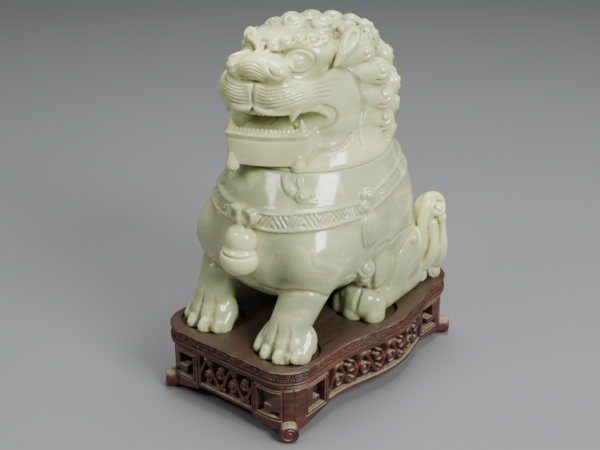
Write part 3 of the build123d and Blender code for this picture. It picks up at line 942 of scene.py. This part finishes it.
def teeth(clay):
    """Bead-like rows of teeth and four flat fangs."""
    for t in np.linspace(-1, 1, 11):
        clay.add(Egg((11.5 * t, -53 + 3.4 * t * t, 163.6), (1.25, 1.3, 1.6)), 0.25)
    for u in np.linspace(-14, 18, 16):
        clay.add(Egg((*jaw_line(u, 2.8), 151.2), (1.15, 1.2, 1.4)), 0.25)
    for side in (-1, 1):
        for k in range(5):
            clay.add(Egg((side * (18.6 + 1.3 * k), -41.5 + 3 * k, 163.8), (1.1, 1.3, 1.3)), 0.25)
        clay.cord([(side * 18.2, -46.2, 165.2), (side * 17.6, -47.6, 160.4)], (3.6, 1), 0.6)
        base = jaw_line(20.4 if side > 0 else -15, 3.8)
        clay.cord([(*base, 149.6), (base[0], base[1] - 0.8, 156.4)], (3.8, 0.7), 0.4)


def mouth(clay):
    """The gape, its rolled rim round the corners, and the flat tongue inside."""

    def gape(x, y, z):
        t = np.clip((y + 60) / 30, 0, 1)
        middle = 157.6 - 1.5 * t * t
        half = 6.7 - 2.4 * t
        return np.sqrt(np.maximum(y + 31.5, 0) ** 2 + (z - middle) ** 2) - half

    clay.cut(Shape((-50, -80, 148), (50, -20, 167), gape), 1.2)
    rim = [
        (-41, 164.4), (-37, 163.2), (-32, 161.8), (-27.4, 159), (-25.8, 155.8), (-27.8, 152.2),
        (-32.5, 150.6),
    ]
    outer = [
        (-38, 165.8), (-31, 164.2), (-24.8, 160.6), (-22.6, 155.6), (-25, 150.6), (-31, 148),
        (-36.5, 147.4),
    ]
    for side in (-1, 1):
        path = smooth_path([(side * 60, y, z) for y, z in rim], 44)
        clay.cord(clay.onto(path, (-side, 0, 0), 45), (0.2, 1.1, 1.3, 1.2, 0.5), 0.8)
        path = smooth_path([(side * 60, y, z) for y, z in outer], 44)
        clay.groove(clay.onto(path, (-side, 0, 0), 45), (0.3, 0.8, 0.9, 0.8, 0.3), 0.8)
    clay.add(Brick((-12.5, -42, 143), (13.5, -6, 152.6), 2.5), 1)
    clay.add(Brick((-17, -33, 143), (19, -10, 151.4), 3), 1.5)
    clay.groove([(0, -38, 152.8), (0, -14, 153)], 0.7, 0.8)


def eye(clay, side):
    """A bulging eye in double lids under a brow of small wave curls."""
    if side > 0:
        clay.add(Egg((14.5, -25.5, 189.3), (14.2, 13.6, 9)), 2.5)
        clay.add(Egg((13.6, -28.5, 184.5), (10.6, 11.6, 8.6)), 2)
        looked_at = (17, -38, 187.2)
    else:
        clay.add(Egg((-7.4, -23, 188.8), (11.2, 12, 8.4)), 2.5)
        clay.add(Egg((-8.2, -26, 184), (8.8, 10.2, 8.2)), 2)
        looked_at = (11.4, -38, 186.4)
    out = unit((side * 0.70, -0.68, 0.16))
    centre = traced(clay, [looked_at, np.array(looked_at) + 0.1], side, 2)[0] - out * 3.2
    clay.add(Egg(centre, (4.9, 4.9, 4.6)), 0.5)
    axes = facing(out)
    for r, bead, grows in ((5.3, 0.9, True), (6.7, 0.65, False)):
        rim = []
        for a in np.linspace(0, 2 * math.pi, 32):
            tall = 0.86 if math.sin(a) > 0 else 0.92
            spot = centre + axes[:, 0] * r * 1.12 * math.cos(a)
            rim.append(spot + axes[:, 1] * r * tall * math.sin(a) + out * 13)
        met = clay.onto(rim, -out, 22)
        clay.cord(met, bead, 0.5, cut=not grows)
    clay.cut(Egg(centre + out * 5.2, (0.9, 0.9, 0.7)), 0.5)
    under = [
        (10, -44, 185.5), (15, -43, 181), (21, -38, 179.2), (27.5, -30.5, 182), (29.5, -22, 186),
    ]
    engrave(clay, under, side, (0.5, 1.1, 1.1, 0.7), 1)
    rim = [(28.5, -23, 185.5), (29, -17.5, 190), (26, -13, 195), (20, -10, 198.5)]
    engrave(clay, rim, side, (0.8, 1.2, 0.8), 1)
    brow = [
        (3, -38.6, 192.6), (9.2, -37, 195.3), (15, -35, 197.2), (20.7, -33, 198.1),
        (26, -30.2, 197.4),
    ]
    if side < 0:
        brow = [(x * 0.50, y, z - 1.4) for x, y, z in brow]
    sight = flip(HEAD_SIGHT, side)
    away = unit(-sight + np.array((0, 0, 0.4)))
    drop = [(0, 0, -0.6), (-1.6, -1, -2.6), (-4, -1.6, -4), (-5.6, -2, -4.4)]
    for p in traced(clay, brow, side, 5):
        stem = clay.onto(smooth_path(p + flip(drop, side), 10) - sight * 6, sight, 14)
        clay.cord(stem, (1.9, 1.5, 1, 0.5), 0.3)
        r = 2.9 if side > 0 else 2.3
        snail(clay, p + away * (r - 2), away, r, 0.8, 0.9, -side, 2.2, 0.5, 0.25)


def ear(clay, side):
    """A leaf-shaped ear laid back along the head, hollowed along its length."""
    leaf = [(28.4, -21, 182), (30.2, -15.5, 187.2), (30, -8.6, 190.6), (28.6, -2, 192.4)]
    path = smooth_path(flip(leaf, side), 16)
    if side < 0:
        path = path + (7, 2.5, -6.5)
    clay.cord(path, (1.2, 3.2, 4.5, 4.6), 0.8)
    scoop = path[2:15] + np.array((side * 3.2, -3, 2.2))
    clay.groove(scoop, (0.8, 2, 2.6, 2), 0.8)


LOCKS = (  # root on the cheek's border, middle of the curl's ball, and the ball's radius
    ((29, -13, 184.5), (31, 5, 181.2), 6.8),
    ((33, -5.5, 174), (38, 10, 171), 7.2),
    ((35.5, -3.5, 161.5), (39.2, 11.6, 157.6), 7.4),
    ((36, -3.5, 149.5), (39.2, 13, 144.8), 7.2),
    ((35.5, -2, 138.6), (39.6, 12.4, 134.6), 5.8),
)
MANE_X, MANE_Y = 4, 9
MANE_ROWS = (  # height, half width, half length, curl radius, how many behind the locks
    (136.5, 38.2, 37, 7.2, 8),
    (149, 39.8, 38.5, 7.6, 8),
    (161.8, 39.2, 38, 7.6, 8),
    (174.4, 35.6, 35, 7.4, 7),
    (185.6, 27.5, 28, 7, 6),
)
CROWN = (  # place and radius of the curls on top of the head
    (1.5, -13.5, 198, 6.6),
    (14, -4.5, 196.6, 6.6),
    (-11, -9.5, 194.2, 6.2),
    (3, 2, 195.8, 6.8),
    (24.5, 3, 191.8, 5.8),
    (29.5, 11, 186, 5.8),
    (13, 10, 192.6, 6.8),
    (-10, 4.5, 190.6, 6.6),
    (0, 17, 190.6, 7),
    (-20.5, 5, 186.6, 6.4),
    (16, 23, 187.6, 6.8),
    (-13, 19, 186.4, 6.8),
)


def mane(clay):
    """The mane: long locks from the cheeks that end in snail curls, then rows of curls behind."""
    clay.add(Egg((MANE_X * 0.8, MANE_Y, 157), (36.5, 35.2, 35)), 4)
    clay.add(Egg((MANE_X * 0.8, MANE_Y, 143), (37, 36.6, 21)), 6)
    for side in (-1, 1):
        shift = 0 if side > 0 else 4
        for k, (root, curl, r) in enumerate(LOCKS):
            a = flip(root, side) + (shift * 0.6, 0, 0)
            b = flip(curl, side) + (shift, 0, 0)
            out = unit((side * 0.95, 0.20, 0.20 - 0.06 * k))
            path = smooth_path([a - out * 4.6, (a + b) / 2 - out * 2.2, b - out * 1], 14)
            clay.cord(path, (5.6, 6.4, r * 0.9), 0.3)
            snail(clay, b, unit((side * 0.74, -0.50, 0.36)), r, 0.95, 1.5, side, 2.4, 0.9, 0.4)
    for k, (z, half_x, half_y, r, count) in enumerate(MANE_ROWS):
        spread = math.radians(68)
        for i in range(count):
            a = spread * (2 * (i + 0.5 * (k % 2)) / (count - 0.5) - 1)
            x = MANE_X * 0.8 - half_x * math.sin(a)
            y = MANE_Y + half_y * math.cos(a)
            out = unit((-math.sin(a), math.cos(a), 0.10 + 0.014 * (z - 140)))
            place = np.array((x, y, z))
            lead = [place - out * (9, 9, 0) + (0, 0, 7), place - out * (1.5, 1.5, 0)]
            if k < len(MANE_ROWS) - 1:
                clay.cord(smooth_path(lead, 4), (4, 5.6, 6.4), 0.4)
            spin = 1 if i % 2 else -1
            snail(clay, (x, y, z), out, r, 0.72, 1.6, spin, RNG.uniform(0, 6), 0.8, 0.4)
    for x, y, z, r in CROWN:
        out = unit((x * 0.02, 0.02 * y - 0.1, 1))
        lead = smooth_path([(x * 0.9, y - 7, z - 6.5), (x, y, z - 3.5)], 5)
        clay.cord(lead, (4, 5, r * 0.9), 0.4)
        snail(clay, (x, y, z), out, r, 0.55, 1.5, 1 if x >= 2 else -1, 4, 0.8, 0.5)


def cheek(clay, side):
    """A full smooth cheek with a scalloped lower border over the jaw's hinge."""
    clay.add(Egg((side * 19.5, -11, 160.5), (15, 17.5, 18.5)), 5)
    clay.add(Egg((side * 21.5, -11, 149), (13, 14.5, 12.5)), 4)
    clay.add(Egg((side * 16.4, -21, 143.6), (7.4, 11, 8)), 2)
    scallop = [
        (20.5, -38.5, 133.5), (25.1, -34.3, 140.7), (29.5, -25.8, 139.4), (33, -19.8, 141),
        (35, -15.8, 145.2),
    ]
    engrave(clay, scallop, side, (1.2, 1.5, 1.3, 0.8), 1.4, 34)
    border = [
        (29.3, -22.2, 181.9), (32.4, -12.5, 176.2), (35.4, -8.8, 170.5), (37, -6, 160.7),
        (37, -6.8, 151.5), (36.5, -11, 143.4), (38.5, -10, 136.8),
    ]
    engrave(clay, border, side, (0.8, 1.5, 1.5, 1.2), 1.2, 40)
    tuft = jaw_line(19 if side > 0 else -14.6, 1.9)
    clay.cord([(*tuft, 137), (*tuft, 132), (tuft[0], tuft[1] - 0.3, 129.3)], (2.2, 3.8, 3.3), 0.8)


def sculpt_head(step):
    clay = Clay((-50, -64, 122), (54, 59, 208), step, HEAD_SIGHT)
    clay.add(Shape((-48, -52, 128), (56, 58, 152), collar_shape))
    clay.add(Egg((0, -6, 167.5), (30.5, 33, 29.5)), 3)
    clay.add(Egg((0, -22, 186), (20, 16.5, 12)), 4)
    clay.add(Egg((0, -31, 193.4), (17, 10, 5.2)), 3)
    clay.add(Shape((-36, -52, 130), (36, -6, 153), jaw_shape), 2)
    mane(clay)
    for side in (-1, 1):
        cheek(clay, side)
    muzzle(clay)
    nose(clay)
    for side in (-1, 1):
        eye(clay, side)
        ear(clay, side)
    mouth(clay)
    teeth(clay)
    for z, r, grows in ((146.8, 0.6, False), (149.6, 0.9, True)):
        edge = [(*jaw_line(u, 0.1), z) for u in np.linspace(-17, 23.6, 30)]
        clay.cord(edge, r, 0.8, cut=not grows)
    clay.cut(Egg((0, -1, 162), (22.5, 24.5, 24.5)), 1.5)
    clay.cut(oval_in_head(22, 27, 120, 152), 1)
    clay.keep_above(RIM_Z + 0.2, 0.4)
    clay.add(oval_in_head(MOUTH_RX - 0.5, MOUTH_RY - 0.5, RIM_Z - 6, RIM_Z + 3), 0)
    clay.cut(oval_in_head(23, 28, RIM_Z - 9, RIM_Z + 4), 0.5)
    return clay


def head_to_row(points):
    """From the head's own axes to the row frame."""
    return np.column_stack([*head_plan(points[:, 0], points[:, 1]), points[:, 2]])


# ---------------------------------------------------------------- stand ----

FRONT = 75.8
CORNER_X, CORNER_R = 46.4, 17
BULGE, BULGE_Y, BULGE_SPAN = 7.8, 10.5, 46
BOARD_LOW = 30.4
WALL_INSET, WALL_T = 1.8, 5.5
APRON_LOW, APRON_HIGH = 8.5, 30.3
SOCKETS = (  # plan centre and half sizes of the shallow sockets that take the feet
    (26, -53.2, 16.7, 15.3),
    (31.3, 7.4, 16.1, 16.2),
)


def half_width(y):
    """Half of the board's width: straight ends with a bowed middle."""
    t = np.clip((y - BULGE_Y) / BULGE_SPAN, -1, 1)
    return CORNER_X + BULGE * 0.5 * (1 + np.cos(np.pi * t))


def plan(x, y):
    """Distance outside the board's outline, and the way round it, in millimetres."""
    reach = half_width(y)
    r = CORNER_R
    qx = np.abs(x) - (reach - r)
    qy = np.abs(y) - (FRONT - r)
    out = np.sqrt(np.maximum(qx, 0) ** 2 + np.maximum(qy, 0) ** 2)
    d = out + np.minimum(np.maximum(qx, qy), 0) - r
    turn = np.arctan2(np.maximum(qy, 0), np.maximum(qx, 1e-3))
    corner = (qx > 0) & (qy > 0)
    side = qx >= qy
    quarter = CORNER_R * np.pi / 2
    along = np.where(side, np.abs(y), FRONT - CORNER_R + quarter + (reach - r) - np.abs(x))
    along = np.where(corner, FRONT - CORNER_R + CORNER_R * turn, along)
    return d, along


KEY_PITCH = 20
KEY_ROWS = ((3.45 + 1.1, 0), (5.85 + 1.1, 10))  # height above the board's foot, and shift along


def board_top(x, y, z):
    """The top board: a bead, two staggered rows of key pattern, and a double bead."""
    d, along = plan(x, y)
    up = z - BOARD_LOW
    levels = (0, 0.7, 1.4, 1.7, 2.1, 2.9, 3.3, 8, 8.4, 8.8, 9.2, 9.6)
    depths = (0.55, 0, 0.55, 0.55, 0, 0, 0.5, 0.5, 0.5, 0, 0.1, 0.7)
    profile = np.interp(up, levels, depths).astype(np.float32)
    cut = 0
    for middle, shift in KEY_ROWS:
        phase = np.abs(np.mod(along + shift, KEY_PITCH) - KEY_PITCH / 2)
        tall = np.abs(up - middle)
        frame_line = stroke(tall - 1.15, 0.34, 0.15)
        tick = stroke(phase - 9.3, 0.42, 0.15) * (tall < 1.2)
        inner = stroke(tall, 0.27, 0.15) * (phase < 6.6) * (phase > 1.6)
        hook = stroke(phase - 1.6, 0.34, 0.15) * (tall < 1.2) * (up > middle - 0.2)
        for line in (frame_line, tick, inner, hook):
            cut = np.maximum(cut, line)
    side = d + profile + 0.95 * cut
    flat = np.maximum(z - BOARD_TOP, BOARD_LOW - z)
    return blend_max(side, flat, 0.5)


def socket_depth(x0, y0, half_x, half_y, power, scale):
    """The function of a shallow oval socket in the board's top."""

    def func(x, y, z):
        k = np.abs((x - x0) / half_x) ** power + np.abs((y - y0) / half_y) ** power
        return np.maximum((k ** (1 / power) - 1) * scale, SOCKET_FLOOR - z)

    return func


def sculpt_board(step):
    clay = Clay((-56, -78, 29.6), (56, 78, 40.8), step)
    clay.add(Shape(clay.low, clay.low + clay.n * step, board_top))
    low_z, high_z = SOCKET_FLOOR, BOARD_TOP + 2
    for side in (-1, 1):
        for x, y, half_x, half_y in SOCKETS:
            low = (side * x - half_x, y - half_y, low_z)
            high = (side * x + half_x, y + half_y, high_z)
            paw = socket_depth(side * x, y, half_x, half_y, 2.6, half_x)
            clay.cut(Shape(low, high, paw), 0.4)
    rump = socket_depth(0, 40, 32.8, 16.8, 2, 16.8)
    clay.cut(Shape((-34, 24, low_z), (34, 64, high_z), rump), 0.4)
    return clay


def polyline_distance(u, v, lines):
    """Distance to a set of curves in a flat pattern, each point less its curve's half width."""
    best = np.full(np.broadcast(u, v).shape, FAR, np.float32)
    for points, radii in lines:
        pts = np.array(points, float)
        r = np.interp(
            np.linspace(0, 1, len(pts)), np.linspace(0, 1, len(np.atleast_1d(radii))),
            np.atleast_1d(radii),
        )
        for (u0, v0), (u1, v1), r0, r1 in zip(pts[:-1], pts[1:], r[:-1], r[1:]):
            du, dv = u1 - u0, v1 - v0
            t = np.clip(((u - u0) * du + (v - v0) * dv) / max(du * du + dv * dv, 1e-6), 0, 1)
            d = np.sqrt((u - u0 - t * du) ** 2 + (v - v0 - t * dv) ** 2) - (r0 + (r1 - r0) * t)
            best = np.minimum(best, d)
    return best


def curl_line(u, v, r, turns, spin, start):
    """A flat spiral from its rim to its eye."""
    t = np.linspace(0, 1, 22)
    a = start + spin * t * turns * 2 * math.pi
    rho = r * (1 - 0.72 * t)
    return np.stack([u + rho * np.cos(a), v + rho * np.sin(a)], 1)


def vine(half, low, high, pitch):
    """A running scroll: one winding stem with curled tendrils and buds in its bends."""
    middle, swing = (low + high) / 2, (high - low) / 2 - 1.4
    lines = []
    u = np.linspace(-half, half, 160)
    lines.append((np.stack([u, middle + swing * np.sin(2 * math.pi * u / pitch)], 1), 0.95))
    k = -int(half / pitch * 2) - 1
    while k * pitch / 2 < half + pitch:
        crest = (k + 0.5) * pitch / 2
        up = 1 if k % 2 == 0 else -1
        k += 1
        if abs(crest) > half - 1:
            continue
        hub = middle - up * swing * 0.28
        r = min(pitch * 0.19, swing * 0.66)
        lines.append((curl_line(crest, hub, r, 1.15, up, -up * math.pi / 2), (0.9, 0.75, 0.8)))
        lines.append(([(crest, hub), (crest + 0.3, hub)], 1.25))
        foot = (crest + pitch * 0.26, middle + up * swing * 0.05)
        twig = [foot, (crest + pitch * 0.16, hub + up * 1.2), (crest + r, hub)]
        lines.append((smooth_path(twig, 8), 0.8))
        bud = [(0, 0.98), (0.08, 0.7), (0.17, 0.95)]
        bud = [(crest + a * pitch, middle + up * swing * b) for a, b in bud]
        lines.append((smooth_path(bud, 8), (0.7, 0.9, 1.15)))
    return lines


def apron_shape(half, pitch):
    """A vine carved through a sheet: u along the wall, w through it, z up."""
    low, high = APRON_LOW, APRON_HIGH
    lines = vine(half - 1.6, low + 3, high - 2, pitch)

    def func(u, w, z):
        pattern = polyline_distance(u, z, lines)
        rails = np.minimum(np.abs(z - (high - 0.9)) - 1, np.abs(z - (low + 1.2)) - 1.3)
        posts = half - np.abs(u) - 1.3
        flat = blend_min(pattern, np.minimum(rails, posts), 0.9)
        sheet = np.maximum(w + 0.35, -(w + WALL_T - 0.4))
        d = blend_max(flat, sheet, 1.5)
        edge = np.maximum(np.maximum(np.abs(u) - half, z - high), low - z)
        return np.maximum(d, edge)

    return func


def sculpt_front_apron(step):
    half, out = 19.2, FRONT
    clay = Clay((-half - 1, -out, APRON_LOW - 1), (half + 1, -out + 9, APRON_HIGH + 1), step)
    x, y, z = clay.grid()
    clay.d = apron_shape(half, 17)(x, -(y + out - WALL_INSET), z).astype(np.float32)
    return clay


def sculpt_side_apron(step):
    half = 41.7
    clay = Clay((37, -half - 1, APRON_LOW - 1), (54, half + 1, APRON_HIGH + 1), step)
    x, y, z = clay.grid()
    clay.d = apron_shape(half, 18.6)(y, x - (half_width(y) - WALL_INSET), z).astype(np.float32)
    return clay


def foot_scroll(step):
    """A rolled foot under the front left leg, its axis along the corner's diagonal."""
    clay = Clay((31, -80, 0), (51, -60, 12), step)
    way = unit((1, -1, 0))
    middle = np.array((41, -70.4, 5.05))
    x, y, z = clay.grid()
    px, py, pz = x - middle[0], y - middle[1], z - middle[2]
    along = px * way[0] + py * way[1]
    across = px * way[1] - py * way[0]
    radius = np.sqrt(across**2 + pz**2)
    angle = np.arctan2(pz, across)
    body = radius - (5.3 - 0.35 * np.clip((np.abs(along) - 2.6) / 1.2, 0, 1))
    spiral = np.mod(radius / 2 - angle / (2 * math.pi), 1)
    groove = 0.7 * stroke(spiral - 0.5, 0.24, 0.12) * np.clip((radius - 0.9) / 0.4, 0, 1)
    ends = np.abs(along) - 4.4 + groove
    clay.d = (blend_max(body, ends, 0.9)).astype(np.float32)
    clay.keep_above(0, 0.2)
    return clay


LEG_X, LEG_Y = 19.75, 42.25  # where a leg's front and side panels begin
PANEL_X, PANEL_Y = 19.5, 42
PANEL_EDGE, PANEL_WIDE, PANEL_HOOK = 3.2, 13.5, 3.6
PANEL_LOW, PANEL_HIGH = 11.8, 25.6
LEDGE_Z = 28.3


def frame_rect(a, z, a0, a1, z0, z1):
    """Distance outside a rectangle."""
    return np.maximum(slab(a, a0, a1), slab(z, z0, z1))


def fret_panel(a, z, start):
    """The hooked opening of one leg panel and the engraved frame round it."""
    low, high = PANEL_LOW, PANEL_HIGH
    a0 = start + PANEL_EDGE
    a1 = a0 + PANEL_WIDE
    opening = frame_rect(a, z, a0, a1, low, high)
    upright = frame_rect(a, z, a1 - PANEL_HOOK, a1 + 1, low + 3.2, high + 1)
    bar = frame_rect(a, z, a0 + 4.6, a1, low + 3.2, low + 6.6)
    opening = np.maximum(opening, -np.minimum(upright, bar))
    border = frame_rect(a, z, a0 - 1.5, a1 + 1.3, low - 1.5, high + 1.3)
    return opening, stroke(border, 0.4, 0.2)


def sculpt_leg(step):
    """The front left leg: two fret panels round a rounded post, narrowing to the foot."""
    clay = Clay((LEG_X - 1, -75.5, 2.6), (46, 1 - LEG_Y, 31.2), step)
    x, y, z = clay.grid()
    d, along = plan(x, y)
    face = d + WALL_INSET
    waist = 1.5 * np.clip((z - 28.4) / 0.5, 0, 1)
    front_open, front_line = fret_panel(x, z, PANEL_X)
    side_open, side_line = fret_panel(-y, z, PANEL_Y)
    on_front = -y > 60
    on_side = (x > 35) & (-y < 66)
    opening = np.minimum(np.where(on_front, front_open, FAR), np.where(on_side, side_open, FAR))
    lines = np.maximum(front_line * on_front, side_line * on_side)
    post = np.abs(along - (FRONT - CORNER_R + CORNER_R * math.pi / 4))
    mark = stroke(post - 3.2, 0.4, 0.2) * ((z > 8.5) & (z < 28))
    lines = np.maximum(np.maximum(lines, mark), stroke(z - LEDGE_Z, 0.45, 0.2))
    reach = np.sqrt((x - 38) ** 2 + (y + 67.4) ** 2)
    low = 3.6 + 4.9 * np.clip((reach - 6.5) / 20, 0, 1) ** 0.8
    outer = face + waist + 0.55 * lines
    wall = np.maximum(outer, -(d + WALL_INSET + WALL_T))
    wall = blend_max(wall, low - z, 0.8)
    wall = np.maximum(wall, z - APRON_HIGH)
    wall = np.maximum(wall, -opening)
    wall = np.maximum(np.maximum(wall, LEG_X - x), y + LEG_Y)
    neck = np.sqrt((x - 37.6) ** 2 + (y + 67) ** 2) - 5.8
    neck = np.maximum(neck, np.maximum(z - 11, 5.4 - z))
    clay.d = blend_min(wall, np.maximum(neck, outer), 0.8).astype(np.float32)
    return clay


CARVED = (  # node, how it is carved, and the grid steps of a full and a quick build
    ("apron_front", sculpt_front_apron, (0.28, 0.45)),
    ("apron_left", sculpt_side_apron, (0.30, 0.5)),
    ("foot_front_left", foot_scroll, (0.25, 0.4)),
    ("leg_front_left", sculpt_leg, (0.28, 0.45)),
)
TWINS = (  # node, the node it mirrors, and the axis across which it does
    ("leg_front_right", "leg_front_left", 0),
    ("leg_rear_left", "leg_front_left", 1),
    ("leg_rear_right", "leg_front_right", 1),
    ("apron_rear", "apron_front", 1),
    ("apron_right", "apron_left", 0),
    ("foot_front_right", "foot_front_left", 0),
    ("foot_rear_left", "foot_front_left", 1),
    ("foot_rear_right", "foot_front_right", 1),
)


def build_stand():
    # the board's upward faces are darkened by 0.72 towards near black
    board_wood = wood_material("board_wood", BOARD_DARK, BOARD_RED, 0, 0.08, 0.72)
    wall_wood = wood_material("wall_wood", WALL_DARK, WALL_RED, 0.30, 0.95)
    board = sculpt_board(BOARD_STEPS[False])
    pieces = {"top_board": carve_out(board, "board", board_wood, reach=1)}
    for node, sculpt, steps in CARVED:
        clay = sculpt(steps[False])
        pieces[node] = carve_out(clay, node + "_carved", wall_wood, reach=1)
    for node, source, axis in TWINS:
        pieces[node] = mirrored(pieces[source], node + "_carved", axis)
    for node, obj in pieces.items():
        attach(obj, "stand")
        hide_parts(node)


def wood_for_hidden_pieces():
    """Sawn blocks and bamboo pegs keep their CAD shapes and get plain woods."""
    block = plain_wood("sawn_block_wood", (0.16, 0.075, 0.035), (0.08, 0.035, 0.018))
    bamboo = plain_wood("bamboo_peg", (0.42, 0.28, 0.12), (0.25, 0.15, 0.06))
    for obj in bpy.data.objects:
        if obj.type == "MESH" and obj.name.startswith(("glue_block", "leg_pegs")):
            obj.data.materials.clear()
            obj.data.materials.append(bamboo if obj.name.startswith("leg_pegs") else block)


# ---------------------------------------------------------------- build ----


def near(points, centre, inner, outer):
    """1 close to a place, falling to 0 further off."""
    far = np.linalg.norm(points - np.array(centre), axis=1)
    return np.clip((outer - far) / (outer - inner), 0, 1)


def body_painted_glow(points):
    """Painted highlight and glow on the body: the bell, the tail and the toes are painted a
    brighter, yellower jade that stands in for light.
    """
    tint = np.maximum(near(points, (0, -60, 90), 9, 20), near(points, (38, 58, 76), 14, 26))
    toes = np.clip((50 - points[:, 2]) / 10, 0, 1) * np.clip((-48 - points[:, 1]) / 12, 0, 1)
    return np.maximum(tint, 0.5 * toes)


def head_painted_glow(points):
    """Painted highlight and glow on the head: the nose, the jaw and the outer mane are painted a
    brighter, yellower jade that stands in for light.
    """
    tint = np.maximum(near(points, (0, -52, 184), 8, 24), near(points, (0, -44, 146), 8, 26))
    return np.maximum(
        tint, 0.6 * np.clip((np.hypot(points[:, 0] - 3, points[:, 1] - 9) - 30) / 14, 0, 1)
    )


def build_lion():
    jade = jade_material()
    body = sculpt_body(BODY_STEPS[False])
    body = carve_out(body, "jade_lion_body", jade, painted_glow=body_painted_glow)
    head = sculpt_head(HEAD_STEPS[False])
    head = carve_out(head, "jade_lion_head", jade, head_to_row, painted_glow=head_painted_glow)
    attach(body, "lion")
    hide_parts("lion_body")
    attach(head, "head")
    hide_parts("lion_head")


CAMERA_PLACE, CAMERA_BACK = (0.3666, -0.46045, 0.3659), (0.5699, -0.6986, 0.4327)
CAMERA_LENS, SENSOR_WIDTH, CLIP_START = 72, 36, 0.01
FLOOR_REACH, FLOOR_GREY = 3, (0.165, 0.165, 0.172, 1)
LAMPS = (  # name, place, size, watts
    ("key", (-0.30, -0.80, 0.95), (0.32, 0.32), 4.5),
    ("side", (0.90, -0.14, 0.75), (0.42, 0.48), 19),
    ("top", (0, 0.12, 0.92), (0.5, 0.4), 12),
)
AIM_HEIGHT = 0.1  # the lamps point at the lion's chest
SKY, SKY_STRENGTH = (0.66, 0.66, 0.68, 1), 0.11


def placed(name, data, place, back):
    """An object in the scene, its own Z axis along a given direction."""
    obj = bpy.data.objects.new(name, data)
    obj.location = place
    obj.rotation_mode = "QUATERNION"
    obj.rotation_quaternion = Vector(back).to_track_quat("Z", "Y")
    bpy.context.scene.collection.objects.link(obj)
    return obj


def studio():
    """Camera, floor and soft lights."""
    data = bpy.data.cameras.new("camera")
    data.lens, data.sensor_width, data.clip_start = CAMERA_LENS, SENSOR_WIDTH, CLIP_START
    bpy.context.scene.camera = placed("camera", data, CAMERA_PLACE, CAMERA_BACK)

    material, n, shader = new_material("floor")
    n.fill(shader, {"Base Color": FLOOR_GREY, "Roughness": 0.65})
    r = FLOOR_REACH
    corners = [(-r, -r, 0), (r, -r, 0), (r, r, 0), (-r, r, 0)]
    floor = mesh_from("floor", corners, [(0, 1, 2, 3)], material)

    for name, place, size, watts in LAMPS:
        data = bpy.data.lights.new(name, "AREA")
        data.shape = "RECTANGLE"
        data.size, data.size_y = size
        data.energy = watts
        placed(name, data, place, Vector(place) - Vector((0, 0, AIM_HEIGHT)))
    world = bpy.data.worlds.new("studio")
    world.use_nodes = True
    world.node_tree.nodes["Background"].inputs[0].default_value = SKY
    world.node_tree.nodes["Background"].inputs[1].default_value = SKY_STRENGTH
    bpy.context.scene.world = world


build_lion()
build_stand()
wood_for_hidden_pieces()
studio()
